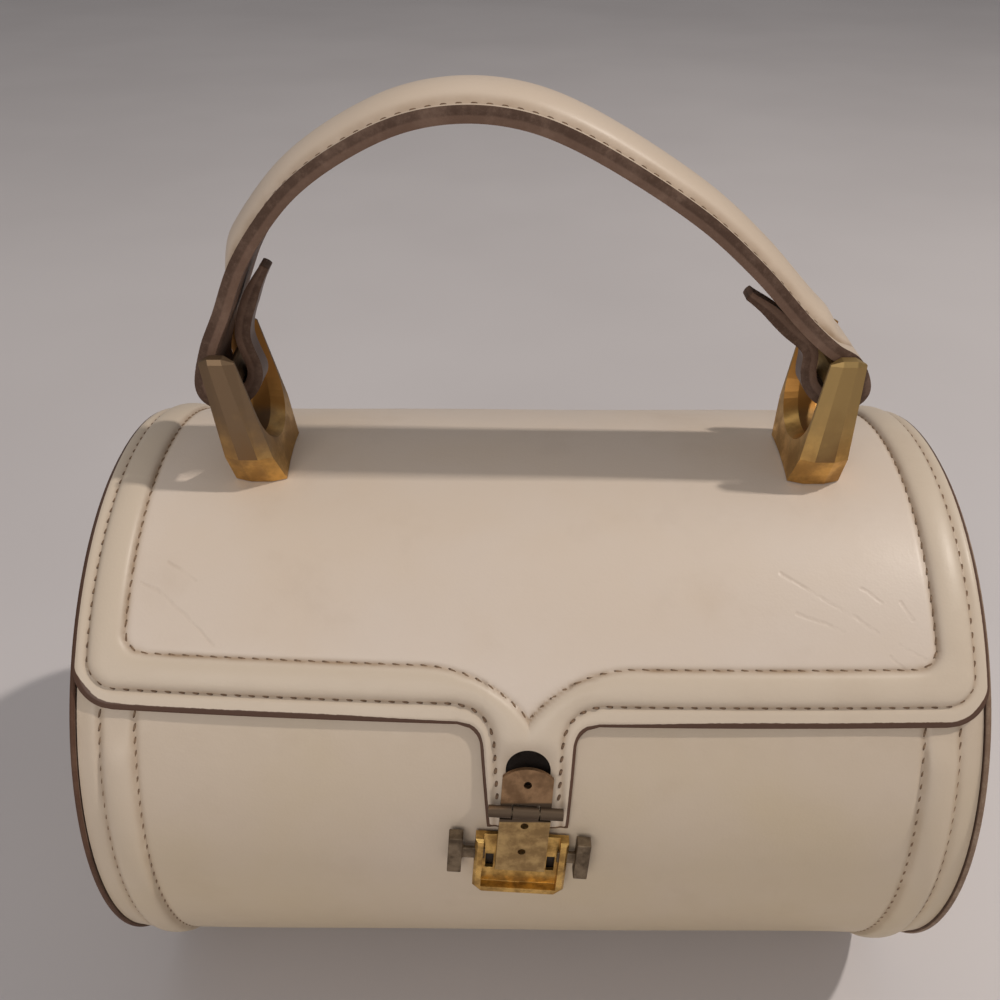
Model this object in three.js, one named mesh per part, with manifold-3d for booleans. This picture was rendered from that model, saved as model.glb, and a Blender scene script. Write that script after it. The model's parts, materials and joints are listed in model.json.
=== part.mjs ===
// A barrel handbag in cream leather: a hollow round body with a padded flap, an arched strap handle on
// two gold rings, and a squeeze clasp with a hinged lever. Millimetres, +Z up, the front faces -Y, and
// the origin is the middle of the flat that the leather rests on.
import * as THREE from "three";
import { mergeVertices } from "three/addons/utils/BufferGeometryUtils.js";
import Module from "manifold-3d";

const wasm = await Module();
wasm.setup();

// Leather barrel
const BAG_LENGTH = 205;
const BODY_RADIUS = 71.4;
const BODY_WALL = 2.2;
const SEAM_GAP = 0.3;
const PAD_RISE = 1.4;
const REST_HALF_WIDTH = 20;
const MOUTH_FRONT_DEG = 44;
const MOUTH_BACK_DEG = 298;
const BODY_STEP_DEG = 7.5;
const BAND_INNER_X = 87.8;
const BAND_OUTER_X = 95.6;
const BAND_FRONT_DEG = [60, 67];
const BAND_BACK_DEG = [270, 279];
const END_THICKNESS = 1.4;
const END_SIDES = 64;
const AXIS_HEIGHT = Math.sqrt((BODY_RADIUS + PAD_RISE) ** 2 - REST_HALF_WIDTH ** 2);

// Flap, laid out flat as x across the bag and s along the leather from the top of the barrel to the front
const FLAP_WALL = 1.6;
const FLAP_INNER_RADIUS = BODY_RADIUS + SEAM_GAP;
const FLAP_OUTER_RADIUS = FLAP_INNER_RADIUS + FLAP_WALL;
const FLAP_HALF = 101.2;
const FLAP_FRONT = 74.4;
const FLAP_BACK = -99.5;
const FLAP_MARGIN = 3.1;
const FLAP_FRONT_MARGIN = 4.5;
const FLAP_PAD_WIDTH = 8;
const FLAP_CORNER = 9;
const FLAP_BOW = 2;
const FLAP_SKEW = 1.6;
const FLAP_STEP = 9.5;
const V_SPREAD = 24;
const V_DROP = 11.5;
const TONGUE_LENGTH = 25.2;
const TONGUE_TOP_HALF = 10.7;
const TONGUE_END_HALF = 8.9;
const TONGUE_FILLET = 5;
const TONGUE_ROOT = 7;
const TONGUE_SKIVE = 0.4;
const TONGUE_SEAM_MARGIN = 3.4;
const WINDOW_RADIUS = 5;
const WINDOW_BELOW_EDGE = 10.3;
const WINDOW_DEPTH = 0.9;

// Handle, as x and the height above the barrel's axis, in a plane a little to the front of the middle
const HANDLE_DEG = 5.05;
const STRAP_WIDTH = 21;
const STRAP_THICKNESS = 3.6;
const STRAP_CROWN = 3.3;
const STRAP_BARE_LEFT = 62;
const STRAP_BARE_RIGHT = 48;
const STRAP_CROWN_RUN = 22;
const STRAP_TIP_WIDTH = 4.5;
const STRAP_TIP_THICKNESS = 2.2;
const STRAP_TIP_RUN = 10;
const STRAP_WIDEN = [24, 42];
const STRAP_STEPS = 86;
const LOOP_RADIUS = 5.2;
const LOOP_LEFT = { x: -69.2, z: 96.6 };
const LOOP_RIGHT = { x: 70.3, z: 96.6 };
const TAB_LEFT = [
  { x: -59, z: 121.9 },
  { x: -62.9, z: 115.1 },
  { x: -65.9, z: 105.7 },
];
const TAB_RIGHT = [
  { x: 64.6, z: 102.3 },
  { x: 58.9, z: 107.5 },
  { x: 54.2, z: 111.8 },
  { x: 49.2, z: 115.4 },
];
const HANDLE_ARCH = [
  { x: -72.1, z: 105.2 },
  { x: -68, z: 113.8 },
  { x: -63.3, z: 124.2 },
  { x: -57.3, z: 133 },
  { x: -49.7, z: 141.3 },
  { x: -38.8, z: 148.8 },
  { x: -26.4, z: 154.3 },
  { x: -14.5, z: 156.2 },
  { x: -2.6, z: 155.1 },
  { x: 9.4, z: 150.8 },
  { x: 34.8, z: 135.7 },
  { x: 48.2, z: 124.5 },
  { x: 61.5, z: 110.9 },
  { x: 67.6, z: 105.7 },
  { x: 72.7, z: 102.5 },
];

// Rings, seen along the bag as a U on a solid foot, with a rod across its top
const RING_LEFT = { x: -64.4, leanDeg: -10.5 };
const RING_RIGHT = { x: 68.3, leanDeg: 4.5 };
const RING_HEIGHT = 31;
const RING_BAND = 12;
const RING_TAPER = 0.34;
const RING_BEVEL_RUN = 3.6;
const RING_BEVEL_DROP = 1.1;
const RING_HALF = 14.2;
const RING_TOP_EDGE = [
  [13.9, 29.8],
  [13.4, RING_HEIGHT],
];
const RING_FOOT = { half: 10.2, below: 3.4, frontCorner: 5.8, backCorner: 9.2 };
const RING_ARCH = { half: 11, middle: 16.6, drop: 9.4, steps: 10 };
const RING_ROD_RADIUS = 2.6;
const RING_ROD_HALF = 12;
const RING_ROD_HEIGHT = 23;
const SADDLE_SIDES = 96;
const RIVET_HEAD = { radius: 3.2, height: 1.3 };
const RIVET_SHANK_RADIUS = 1.5;
const RIVET_REACH = 4.5;

// Clasp, in a plane that touches the front panel, as x across, y up the bag and z out from it
const CLASP_DEG = 87.4;
const CLASP_X = -1.7;
const CLASP_TILT_DEG = -4;
const FRAME_HALF_WIDTH = 10.55;
const FRAME_HALF_HEIGHT = 8.4;
const FRAME_RIM_TOP = 3.4;
const FRAME_FLOOR_TOP = 1.3;
const FRAME_RIM_WIDTH = 1.9;
const FRAME_CORNER = 2;
const SLOT = { x: 7, y: 0, width: 1.8, height: 4.4 };
const HINGE = { y: 17, z: 2.6, half: 8.3 };
const PIN_RADIUS = 0.75;
const KNUCKLE_RADIUS = 1.35;
const KNUCKLE_BORE = 0.85;
const KNUCKLE_SPLIT = 2.9;
const LEAF_HALF_WIDTH = 5.65;
const LEVER_THICKNESS = 1.4;
const LEVER_BACK = 1.9;
const LEVER_END = -0.6;
const LEVER_HOLES = [13.6, 5.5];
const LEVER_HOLE_RADIUS = 0.9;
const HASP_THICKNESS = 1.1;
const HASP_BACK = 1.7;
const HASP_RISE = 10.4;
const HASP_ARCH_RADIUS = 8.1;
const HASP_TILT_DEG = -12.8;
const HASP_HOLE_UP = 6.2;
const TAB_PIECE = { width: 3.2, y: 3.4, height: 10.6, back: 0.5, front: 3.7 };
const TAB_INNER_LEFT = 13.4;
const TAB_INNER_RIGHT = 12.3;
const PLUNGER = { reach: 8.2, height: 3.2, back: 1.6, front: 2.6 };
const PLUNGER_PLAY = 0.3;
const ROUND_SIDES = 16;

const rad = THREE.MathUtils.degToRad;

// Solids and cuts
function solidOf(geometry) {
  const bare = geometry.clone();
  bare.deleteAttribute("normal");
  bare.deleteAttribute("uv");
  const merged = mergeVertices(bare, 1e-4);
  return new wasm.Manifold(
    new wasm.Mesh({
      numProp: 3,
      vertProperties: new Float32Array(merged.attributes.position.array),
      triVerts: new Uint32Array(merged.index.array),
    }),
  );
}

function geometryOf(solid) {
  const mesh = solid.getMesh();
  const geometry = new THREE.BufferGeometry();
  geometry.setAttribute("position", new THREE.BufferAttribute(new Float32Array(mesh.vertProperties), 3));
  geometry.setIndex(new THREE.BufferAttribute(new Uint32Array(mesh.triVerts), 1));
  return geometry;
}

// A closed solid through rows of points: each row has an outer and an inner edge with as many points
function loft(rows) {
  const across = rows[0].outer.length;
  const ring = 2 * across;
  const positions = rows.flatMap(({ outer, inner }) =>
    [...outer, ...inner.slice().reverse()].flatMap((p) => [p.x, p.y, p.z]),
  );
  const faces = [];
  const quad = (a, b, c, d) => faces.push(a, b, c, a, c, d);
  for (let j = 0; j + 1 < rows.length; j += 1) {
    for (let k = 0; k < ring; k += 1) {
      const next = (k + 1) % ring;
      quad(j * ring + k, (j + 1) * ring + k, (j + 1) * ring + next, j * ring + next);
    }
  }
  const last = (rows.length - 1) * ring;
  for (let k = 0; k + 1 < across; k += 1) {
    quad(k, k + 1, ring - 2 - k, ring - 1 - k);
    quad(last + ring - 1 - k, last + ring - 2 - k, last + k + 1, last + k);
  }
  const geometry = new THREE.BufferGeometry();
  geometry.setAttribute("position", new THREE.Float32BufferAttribute(positions, 3));
  geometry.setIndex(faces);
  return geometry;
}

function box(width, depth, height, x, y, z) {
  return new THREE.BoxGeometry(width, depth, height).translate(x, y, z);
}

function rodAlongX(radius, length, x, y, z) {
  return new THREE.CylinderGeometry(radius, radius, length, ROUND_SIDES)
    .rotateZ(Math.PI / 2)
    .translate(x, y, z);
}

function rodAlongZ(radius, length, x, y, z) {
  return new THREE.CylinderGeometry(radius, radius, length, ROUND_SIDES)
    .rotateX(Math.PI / 2)
    .translate(x, y, z);
}

function spread(from, to, step) {
  const count = Math.max(1, Math.ceil((to - from) / step));
  return Array.from({ length: count + 1 }, (_, i) => from + ((to - from) * i) / count);
}

const smooth = THREE.MathUtils.smoothstep;

// A point of the barrel: the angle runs from the top towards the front, and leather stays above the floor
function barrelPoint(x, angle, radius, floor = 0) {
  return new THREE.Vector3(
    x,
    -radius * Math.sin(angle),
    Math.max(AXIS_HEIGHT + radius * Math.cos(angle), floor),
  );
}

// The rise of a padded band at a distance from its nearer stitch row
function padRise(distance, width) {
  const t = THREE.MathUtils.clamp((2 * distance) / width, 0, 1);
  return PAD_RISE * Math.sqrt(1 - (1 - t) ** 2);
}

// Body: front, underside and back as one rolled wall
function bodyShell() {
  const half = BAG_LENGTH / 2 - END_THICKNESS - SEAM_GAP;
  const bandWidth = BAND_OUTER_X - BAND_INNER_X;
  const right = [30, 60, BAND_INNER_X, ...spread(BAND_INNER_X + 1, BAND_OUTER_X - 1, 2), BAND_OUTER_X, half];
  const columns = [...right.map((x) => -x).reverse(), 0, ...right];
  const rise = (x, deg) =>
    padRise(Math.min(Math.abs(x) - BAND_INNER_X, BAND_OUTER_X - Math.abs(x)), bandWidth) *
    smooth(deg, ...BAND_FRONT_DEG) *
    (1 - smooth(deg, ...BAND_BACK_DEG));
  return loft(
    spread(MOUTH_FRONT_DEG, MOUTH_BACK_DEG, BODY_STEP_DEG).map((deg) => ({
      outer: columns.map((x) => barrelPoint(x, rad(deg), BODY_RADIUS + rise(x, deg))),
      inner: columns.map((x) => barrelPoint(x, rad(deg), BODY_RADIUS - BODY_WALL, BODY_WALL)),
    })),
  );
}

// Ends: round panels with the same flat underneath
function endPanel(side) {
  const edge = Array.from({ length: END_SIDES }, (_, i) => {
    const p = barrelPoint(0, (2 * Math.PI * i) / END_SIDES, BODY_RADIUS);
    return new THREE.Vector2(p.y, p.z);
  });
  const panel = new THREE.ExtrudeGeometry(new THREE.Shape(edge), { depth: END_THICKNESS, bevelEnabled: false });
  const toX = new THREE.Matrix4().set(0, 0, 1, 0, 1, 0, 0, 0, 0, 1, 0, 0, 0, 0, 0, 1);
  panel.applyMatrix4(toX);
  return panel.translate(side > 0 ? BAG_LENGTH / 2 - END_THICKNESS : -BAG_LENGTH / 2, 0, 0);
}

// Flap: stitch rows are drawn on the flat leather, which is then bowed, skewed and rolled
const PAD_OUTER_X = FLAP_HALF - FLAP_MARGIN;
const PAD_INNER_X = PAD_OUTER_X - FLAP_PAD_WIDTH;
const PAD_OUTER_FRONT = FLAP_FRONT - FLAP_FRONT_MARGIN;
const PAD_INNER_FRONT = PAD_OUTER_FRONT - FLAP_PAD_WIDTH;
const PAD_OUTER_BACK = FLAP_BACK + FLAP_MARGIN;
const PAD_INNER_BACK = PAD_OUTER_BACK + FLAP_PAD_WIDTH;

function flapPoint(x, s, lift) {
  const across = x / FLAP_HALF;
  const shift = (FLAP_BOW * (1 - across ** 2) + FLAP_SKEW * across) * smooth(s, 0, PAD_INNER_FRONT);
  return barrelPoint(x, (s + shift) / FLAP_OUTER_RADIUS, FLAP_OUTER_RADIUS + lift);
}

function innerRowFront(x) {
  const reach = Math.max(V_SPREAD - Math.abs(x), 0);
  const radius = (V_SPREAD ** 2 + V_DROP ** 2) / (2 * V_DROP);
  return PAD_INNER_FRONT + radius - Math.sqrt(radius ** 2 - reach ** 2);
}

function tongueHalf(s) {
  const below = s - FLAP_FRONT;
  const taper = THREE.MathUtils.lerp(TONGUE_TOP_HALF, TONGUE_END_HALF, Math.max(below, 0) / TONGUE_LENGTH);
  const left = Math.max(TONGUE_FILLET - Math.max(below, 0), 0);
  return taper + TONGUE_FILLET - Math.sqrt(TONGUE_FILLET ** 2 - left ** 2);
}

function flapRise(x, s) {
  const aside = Math.abs(x);
  const overTongue = aside < TONGUE_TOP_HALF - TONGUE_SEAM_MARGIN;
  const toInner = Math.max(aside - PAD_INNER_X, s - innerRowFront(x), PAD_INNER_BACK - s);
  const toFront = overTongue ? Infinity : PAD_OUTER_FRONT - s;
  const toOuter = Math.min(PAD_OUTER_X - aside, toFront, s - PAD_OUTER_BACK);
  const fade = 1 - smooth(s, FLAP_FRONT, FLAP_FRONT + WINDOW_BELOW_EDGE - WINDOW_RADIUS);
  return padRise(Math.min(toInner, toOuter), FLAP_PAD_WIDTH) * fade;
}

function flapSheet() {
  const border = spread(FLAP_MARGIN, FLAP_MARGIN + FLAP_PAD_WIDTH, 2.1);
  const frontBorder = spread(FLAP_FRONT_MARGIN, FLAP_FRONT_MARGIN + FLAP_PAD_WIDTH, 2.1);
  const rows = [
    ...[0, ...border].map((d) => FLAP_BACK + d),
    ...spread(PAD_INNER_BACK, PAD_INNER_FRONT, FLAP_STEP).slice(1, -1),
    ...[0, ...frontBorder].map((d) => FLAP_FRONT - d).reverse(),
  ];
  const right = [2.5, 5, 8, 11, 14.5, 19, V_SPREAD, 45, 68, ...border.map((d) => FLAP_HALF - d).reverse(), FLAP_HALF];
  const columns = [...right.map((x) => -x).reverse(), 0, ...right];
  const half = (s) => {
    const inCorner = Math.max(FLAP_CORNER - Math.min(s - FLAP_BACK, FLAP_FRONT - s), 0);
    return FLAP_HALF - FLAP_CORNER + Math.sqrt(FLAP_CORNER ** 2 - inCorner ** 2);
  };
  const drawnIn = (x, s) => {
    const past = Math.max(Math.abs(x) - PAD_INNER_X, 0);
    const kept = Math.abs(x) - past;
    return Math.sign(x) * (kept + (past * (half(s) - PAD_INNER_X)) / (FLAP_HALF - PAD_INNER_X));
  };
  return loft(
    rows.map((s) => ({
      outer: columns.map((x) => flapPoint(drawnIn(x, s), s, flapRise(drawnIn(x, s), s))),
      inner: columns.map((x) => flapPoint(drawnIn(x, s), s, -FLAP_WALL)),
    })),
  );
}

function tongueSheet() {
  const parts = [-1, -0.75, -0.5, -0.25, 0, 0.25, 0.5, 0.75, 1];
  const end = FLAP_FRONT + TONGUE_LENGTH;
  const rows = [FLAP_FRONT - TONGUE_ROOT, FLAP_FRONT - 1, ...spread(FLAP_FRONT + 0.6, end, 3)];
  return loft(
    rows.map((s) => {
      const inset = s < FLAP_FRONT ? SEAM_GAP : 0;
      const skive = TONGUE_SKIVE * smooth(s, FLAP_FRONT, end);
      const xs = parts.map((u) => u * tongueHalf(s));
      return {
        outer: xs.map((x) => flapPoint(x, s, flapRise(x, s) - inset - skive)),
        inner: xs.map((x) => flapPoint(x, s, inset - FLAP_WALL)),
      };
    }),
  );
}

function windowCutter() {
  const s = FLAP_FRONT + WINDOW_BELOW_EDGE;
  const out = flapPoint(0, s, WINDOW_RADIUS);
  const floor = flapPoint(0, s, -WINDOW_DEPTH);
  const cutter = new THREE.CylinderGeometry(WINDOW_RADIUS, WINDOW_RADIUS, out.distanceTo(floor), 2 * ROUND_SIDES);
  const along = out.clone().sub(floor).normalize();
  cutter.applyQuaternion(new THREE.Quaternion().setFromUnitVectors(new THREE.Vector3(0, 1, 0), along));
  const middle = out.add(floor).multiplyScalar(0.5);
  return cutter.translate(middle.x, middle.y, middle.z);
}

function flap() {
  let solid = solidOf(flapSheet()).add(solidOf(tongueSheet())).subtract(solidOf(windowCutter()));
  for (const { x } of [RING_LEFT, RING_RIGHT]) {
    solid = solid.subtract(solidOf(rivetBore(x)));
  }
  return geometryOf(solid);
}

// Handle: a domed strap swept along its arch, with each end wrapped round a ring's rod
const HANDLE_Y = -FLAP_OUTER_RADIUS * Math.sin(rad(HANDLE_DEG));

function strapPath() {
  const wrap = ({ x, z }, turns) =>
    turns.map((deg) => ({ x: x + LOOP_RADIUS * Math.cos(rad(deg)), z: z + LOOP_RADIUS * Math.sin(rad(deg)) }));
  const turns = [0, -30, -60, -90, -120, -150, -180];
  const points = [
    ...TAB_LEFT,
    ...wrap(LOOP_LEFT, turns),
    ...HANDLE_ARCH,
    ...wrap(LOOP_RIGHT, turns),
    ...TAB_RIGHT,
  ];
  const ordered = points.map(({ x, z }) => new THREE.Vector3(x, HANDLE_Y, AXIS_HEIGHT + z));
  return new THREE.CatmullRomCurve3(ordered, false, "centripetal");
}

function handleStrap() {
  const path = strapPath();
  const length = path.getLength();
  const shape = [
    { y: -0.5, crown: 0 },
    { y: -0.27, crown: 0.78 },
    { y: 0, crown: 1 },
    { y: 0.27, crown: 0.78 },
    { y: 0.5, crown: 0 },
  ];
  return loft(
    Array.from({ length: STRAP_STEPS + 1 }, (_, i) => {
      const u = i / STRAP_STEPS;
      const at = path.getPointAt(u);
      const along = path.getTangentAt(u);
      const out = new THREE.Vector3(-along.z, 0, along.x);
      const bare = u < 0.5 ? STRAP_BARE_LEFT : STRAP_BARE_RIGHT;
      const fromEnd = Math.min(u, 1 - u) * length;
      const crown = STRAP_CROWN * smooth(fromEnd, bare, bare + STRAP_CROWN_RUN);
      const width = THREE.MathUtils.lerp(STRAP_TIP_WIDTH, STRAP_WIDTH, smooth(fromEnd, ...STRAP_WIDEN));
      const body = smooth(fromEnd, 0, STRAP_TIP_RUN);
      const half = THREE.MathUtils.lerp(STRAP_TIP_THICKNESS, STRAP_THICKNESS, body) / 2;
      const rim = (rise) => ({ y, crown: c }) =>
        at.clone().addScaledVector(out, rise(c)).add(new THREE.Vector3(0, y * width, 0));
      return {
        outer: shape.map(rim((c) => half + c * crown)),
        inner: shape.map(rim(() => -half)),
      };
    }),
  );
}

// Rings: a faceted band bent to a U on a foot that fits the flap, held by a rivet from inside
const RING_SEAT_RADIUS = FLAP_OUTER_RADIUS + SEAM_GAP;

function onFlap(geometry, x) {
  return geometry.rotateX(rad(HANDLE_DEG)).translate(x, 0, AXIS_HEIGHT);
}

function rivetBore(x) {
  const top = RING_SEAT_RADIUS + RIVET_REACH + SEAM_GAP;
  const length = top - FLAP_INNER_RADIUS + FLAP_WALL;
  return onFlap(rodAlongZ(RIVET_SHANK_RADIUS + SEAM_GAP, length, 0, 0, top - length / 2), x);
}

function leanRing(geometry, leanDeg) {
  const slope = Math.tan(rad(leanDeg));
  const at = geometry.attributes.position;
  for (let i = 0; i < at.count; i += 1) {
    const z = at.getZ(i);
    at.setX(i, at.getX(i) * (1 - (RING_TAPER * z) / RING_HEIGHT) + slope * z);
  }
  return geometry;
}

// One leg's outline from the foot up its outside and down into the half oval between the legs
function ringSide(corner) {
  const { half, middle, drop, steps } = RING_ARCH;
  const arch = Array.from({ length: steps }, (_, i) => {
    const turn = (Math.PI * i) / (2 * steps);
    return [half * Math.cos(turn), middle - drop * Math.sin(turn)];
  });
  return [[RING_FOOT.half, -RING_FOOT.below], [RING_HALF, corner], ...RING_TOP_EDGE, [half, RING_HEIGHT], ...arch];
}

function handleRing({ x, leanDeg }) {
  const outline = [...ringSide(RING_FOOT.backCorner), [0, RING_ARCH.middle - RING_ARCH.drop]]
    .concat(ringSide(RING_FOOT.frontCorner).reverse().map(([y, z]) => [-y, z]))
    .map(([y, z]) => new THREE.Vector2(y, z));
  const band = new THREE.ExtrudeGeometry(new THREE.Shape(outline), {
    depth: RING_BAND - 2 * RING_BEVEL_RUN,
    bevelThickness: RING_BEVEL_RUN,
    bevelSize: RING_BEVEL_DROP,
    bevelOffset: -RING_BEVEL_DROP,
    bevelSegments: 1,
  });
  const toX = new THREE.Matrix4().set(0, 0, 1, RING_BEVEL_RUN - RING_BAND / 2, 1, 0, 0, 0, 0, 1, 0, 0, 0, 0, 0, 1);
  band.applyMatrix4(toX);
  const rod = new THREE.CylinderGeometry(RING_ROD_RADIUS, RING_ROD_RADIUS, 2 * RING_ROD_HALF, ROUND_SIDES);
  rod.translate(0, 0, RING_ROD_HEIGHT);
  const whole = leanRing(geometryOf(solidOf(band).add(solidOf(rod))), leanDeg);
  whole.translate(x, HANDLE_Y, AXIS_HEIGHT + RING_SEAT_RADIUS);
  const saddleRadius = RING_SEAT_RADIUS / Math.cos(Math.PI / SADDLE_SIDES);
  const saddle = new THREE.CylinderGeometry(saddleRadius, saddleRadius, 4 * RING_BAND, SADDLE_SIDES);
  saddle.rotateZ(Math.PI / 2).translate(x, 0, AXIS_HEIGHT);
  return geometryOf(solidOf(whole).subtract(solidOf(saddle)).subtract(solidOf(rivetBore(x))));
}

function ringRivet({ x }) {
  const under = FLAP_INNER_RADIUS - SEAM_GAP;
  const top = RING_SEAT_RADIUS + RIVET_REACH;
  const { radius, height } = RIVET_HEAD;
  const profile = [
    [0, under - height],
    [radius, under - height],
    [radius, under],
    [RIVET_SHANK_RADIUS, under],
    [RIVET_SHANK_RADIUS, top],
    [0, top],
    [0, under - height],
  ].map(([r, z]) => new THREE.Vector2(r, z));
  return onFlap(new THREE.LatheGeometry(profile, ROUND_SIDES).rotateX(Math.PI / 2), x);
}

// Clasp
function onClasp(geometry) {
  const angle = rad(CLASP_DEG);
  const up = new THREE.Vector3(0, Math.cos(angle), Math.sin(angle));
  const out = new THREE.Vector3(0, -Math.sin(angle), Math.cos(angle));
  const place = new THREE.Matrix4().makeBasis(new THREE.Vector3(1, 0, 0), up, out);
  place.setPosition(barrelPoint(CLASP_X, angle, BODY_RADIUS));
  return geometry.applyMatrix4(place.multiply(new THREE.Matrix4().makeRotationZ(rad(CLASP_TILT_DEG))));
}

function claspFrame() {
  const w = FRAME_HALF_WIDTH;
  const h = FRAME_HALF_HEIGHT;
  const c = FRAME_CORNER;
  const outline = [
    [-w, h],
    [-w, c - h],
    [c - w, -h],
    [w - c, -h],
    [w, c - h],
    [w, h],
  ].map(([x, y]) => new THREE.Vector2(x, y));
  const bevel = 0.6;
  const tray = new THREE.ExtrudeGeometry(new THREE.Shape(outline), {
    depth: FRAME_RIM_TOP - SEAM_GAP - bevel,
    bevelThickness: bevel,
    bevelSize: bevel,
    bevelOffset: -bevel,
    bevelSegments: 1,
  }).translate(0, 0, SEAM_GAP);
  const base = box(4 * w, 4 * h, 2 * bevel, 0, 0, SEAM_GAP - bevel);
  const wellWidth = 2 * (w - FRAME_RIM_WIDTH);
  const well = box(wellWidth, 2 * h, 2 * h, 0, FRAME_RIM_WIDTH, FRAME_FLOOR_TOP + h);
  let solid = solidOf(tray).subtract(solidOf(base)).subtract(solidOf(well));
  for (const side of [-1, 1]) {
    const slot = box(SLOT.width, SLOT.height, 4 * FRAME_RIM_TOP, side * SLOT.x, SLOT.y, 0);
    const port = box(
      2 * FRAME_RIM_WIDTH,
      PLUNGER.height + 2 * PLUNGER_PLAY,
      PLUNGER.front - PLUNGER.back + 2 * PLUNGER_PLAY,
      side * w,
      TAB_PIECE.y,
      (PLUNGER.front + PLUNGER.back) / 2,
    );
    solid = solid.subtract(solidOf(slot)).subtract(solidOf(port));
  }
  return onClasp(geometryOf(solid));
}

function claspTab(side, inner) {
  const { width, y, height, back, front } = TAB_PIECE;
  const grip = box(width, height, front - back, side * (inner + width / 2), y, (front + back) / 2);
  const reach = inner + width / 2 - PLUNGER.reach;
  const plunger = box(
    reach,
    PLUNGER.height,
    PLUNGER.front - PLUNGER.back,
    side * (PLUNGER.reach + reach / 2),
    y,
    (PLUNGER.front + PLUNGER.back) / 2,
  );
  return onClasp(geometryOf(solidOf(grip).add(solidOf(plunger))));
}

function knuckle(from, to) {
  return rodAlongX(KNUCKLE_RADIUS, to - from, (from + to) / 2, HINGE.y, HINGE.z);
}

function pinBore() {
  return solidOf(rodAlongX(KNUCKLE_BORE, 4 * HINGE.half, 0, HINGE.y, HINGE.z));
}

function claspHasp() {
  const w = LEAF_HALF_WIDTH;
  const arch = new THREE.Shape();
  const r = HASP_ARCH_RADIUS;
  const spring = Math.acos(w / r);
  arch.moveTo(-w, 0).lineTo(w, 0).absarc(0, HASP_RISE - r, r, spring, Math.PI - spring, false);
  const plate = new THREE.ExtrudeGeometry(arch, { depth: HASP_THICKNESS, bevelEnabled: false, curveSegments: 12 });
  plate.translate(0, 0, -HASP_BACK).rotateX(rad(HASP_TILT_DEG)).translate(0, HINGE.y, HINGE.z);
  const gap = new THREE.CylinderGeometry(1, 1, 1, ROUND_SIDES).rotateZ(Math.PI / 2);
  gap.scale(2 * KNUCKLE_SPLIT + 2 * SEAM_GAP, KNUCKLE_RADIUS + SEAM_GAP, HASP_BACK + SEAM_GAP);
  gap.translate(0, HINGE.y, HINGE.z);
  const hole = rodAlongZ(LEVER_HOLE_RADIUS, 4 * HASP_BACK, 0, HINGE.y + HASP_HOLE_UP, HINGE.z - HASP_BACK);
  const near = KNUCKLE_SPLIT + SEAM_GAP;
  const solid = solidOf(plate)
    .add(solidOf(knuckle(-HINGE.half, -near)))
    .add(solidOf(knuckle(near, HINGE.half)))
    .subtract(solidOf(gap))
    .subtract(solidOf(hole))
    .subtract(pinBore());
  return onClasp(geometryOf(solid));
}

function claspLever() {
  const w = LEAF_HALF_WIDTH;
  const shoulder = HINGE.y - KNUCKLE_RADIUS - SEAM_GAP;
  const middle = LEVER_BACK + LEVER_THICKNESS / 2;
  const leaf = box(2 * w, shoulder - LEVER_END, LEVER_THICKNESS, 0, (shoulder + LEVER_END) / 2, middle);
  const neckHeight = HINGE.y - shoulder + 1;
  const neck = box(2 * KNUCKLE_SPLIT, neckHeight, LEVER_THICKNESS, 0, shoulder - 1 + neckHeight / 2, middle);
  let solid = solidOf(leaf).add(solidOf(neck)).add(solidOf(knuckle(-KNUCKLE_SPLIT, KNUCKLE_SPLIT)));
  for (const y of LEVER_HOLES) {
    solid = solid.subtract(solidOf(rodAlongZ(LEVER_HOLE_RADIUS, 4 * LEVER_THICKNESS, 0, y, middle)));
  }
  return onClasp(geometryOf(solid.subtract(pinBore())));
}

function claspPin() {
  return onClasp(rodAlongX(PIN_RADIUS, 2 * HINGE.half, 0, HINGE.y, HINGE.z));
}

// Finishes and the assembly
const cream = { color: 0xd8c6a6, roughness: 0.42, metalness: 0 };
const brown = { color: 0x6e4a35, roughness: 0.5, metalness: 0 };
const gold = { color: 0xb98d45, roughness: 0.3, metalness: 1 };
const pewter = { color: 0x8f8576, roughness: 0.4, metalness: 1 };

const bag = new THREE.Group();
bag.name = "barrel_handbag";

function place(name, geometry, finish) {
  const piece = new THREE.Mesh(geometry, new THREE.MeshStandardMaterial({ ...finish, name: `${name}_finish` }));
  piece.name = name;
  bag.add(piece);
}

place("body_shell", bodyShell(), cream);
place("end_panel_left", endPanel(-1), brown);
place("end_panel_right", endPanel(1), brown);
place("flap", flap(), cream);
place("handle_strap", handleStrap(), cream);
place("handle_ring_left", handleRing(RING_LEFT), gold);
place("handle_ring_right", handleRing(RING_RIGHT), gold);
place("ring_rivet_left", ringRivet(RING_LEFT), pewter);
place("ring_rivet_right", ringRivet(RING_RIGHT), pewter);
place("clasp_frame", claspFrame(), gold);
place("clasp_tab_left", claspTab(-1, TAB_INNER_LEFT), pewter);
place("clasp_tab_right", claspTab(1, TAB_INNER_RIGHT), pewter);
place("clasp_hasp", claspHasp(), gold);
place("clasp_pin", claspPin(), pewter);
place("clasp_lever", claspLever(), gold);

export default bag;
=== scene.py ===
"""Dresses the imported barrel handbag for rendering.

The leather shells, the strap and the thread are surfaces worked out with numpy on grids, in millimetres
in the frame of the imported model. The rings and the clasp are eased copies of its solids.
"""

import json
import logging
import math
from dataclasses import dataclass, field
from enum import Enum, IntEnum

import bmesh
import bpy
import numpy as np
from mathutils import Matrix, Vector

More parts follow.
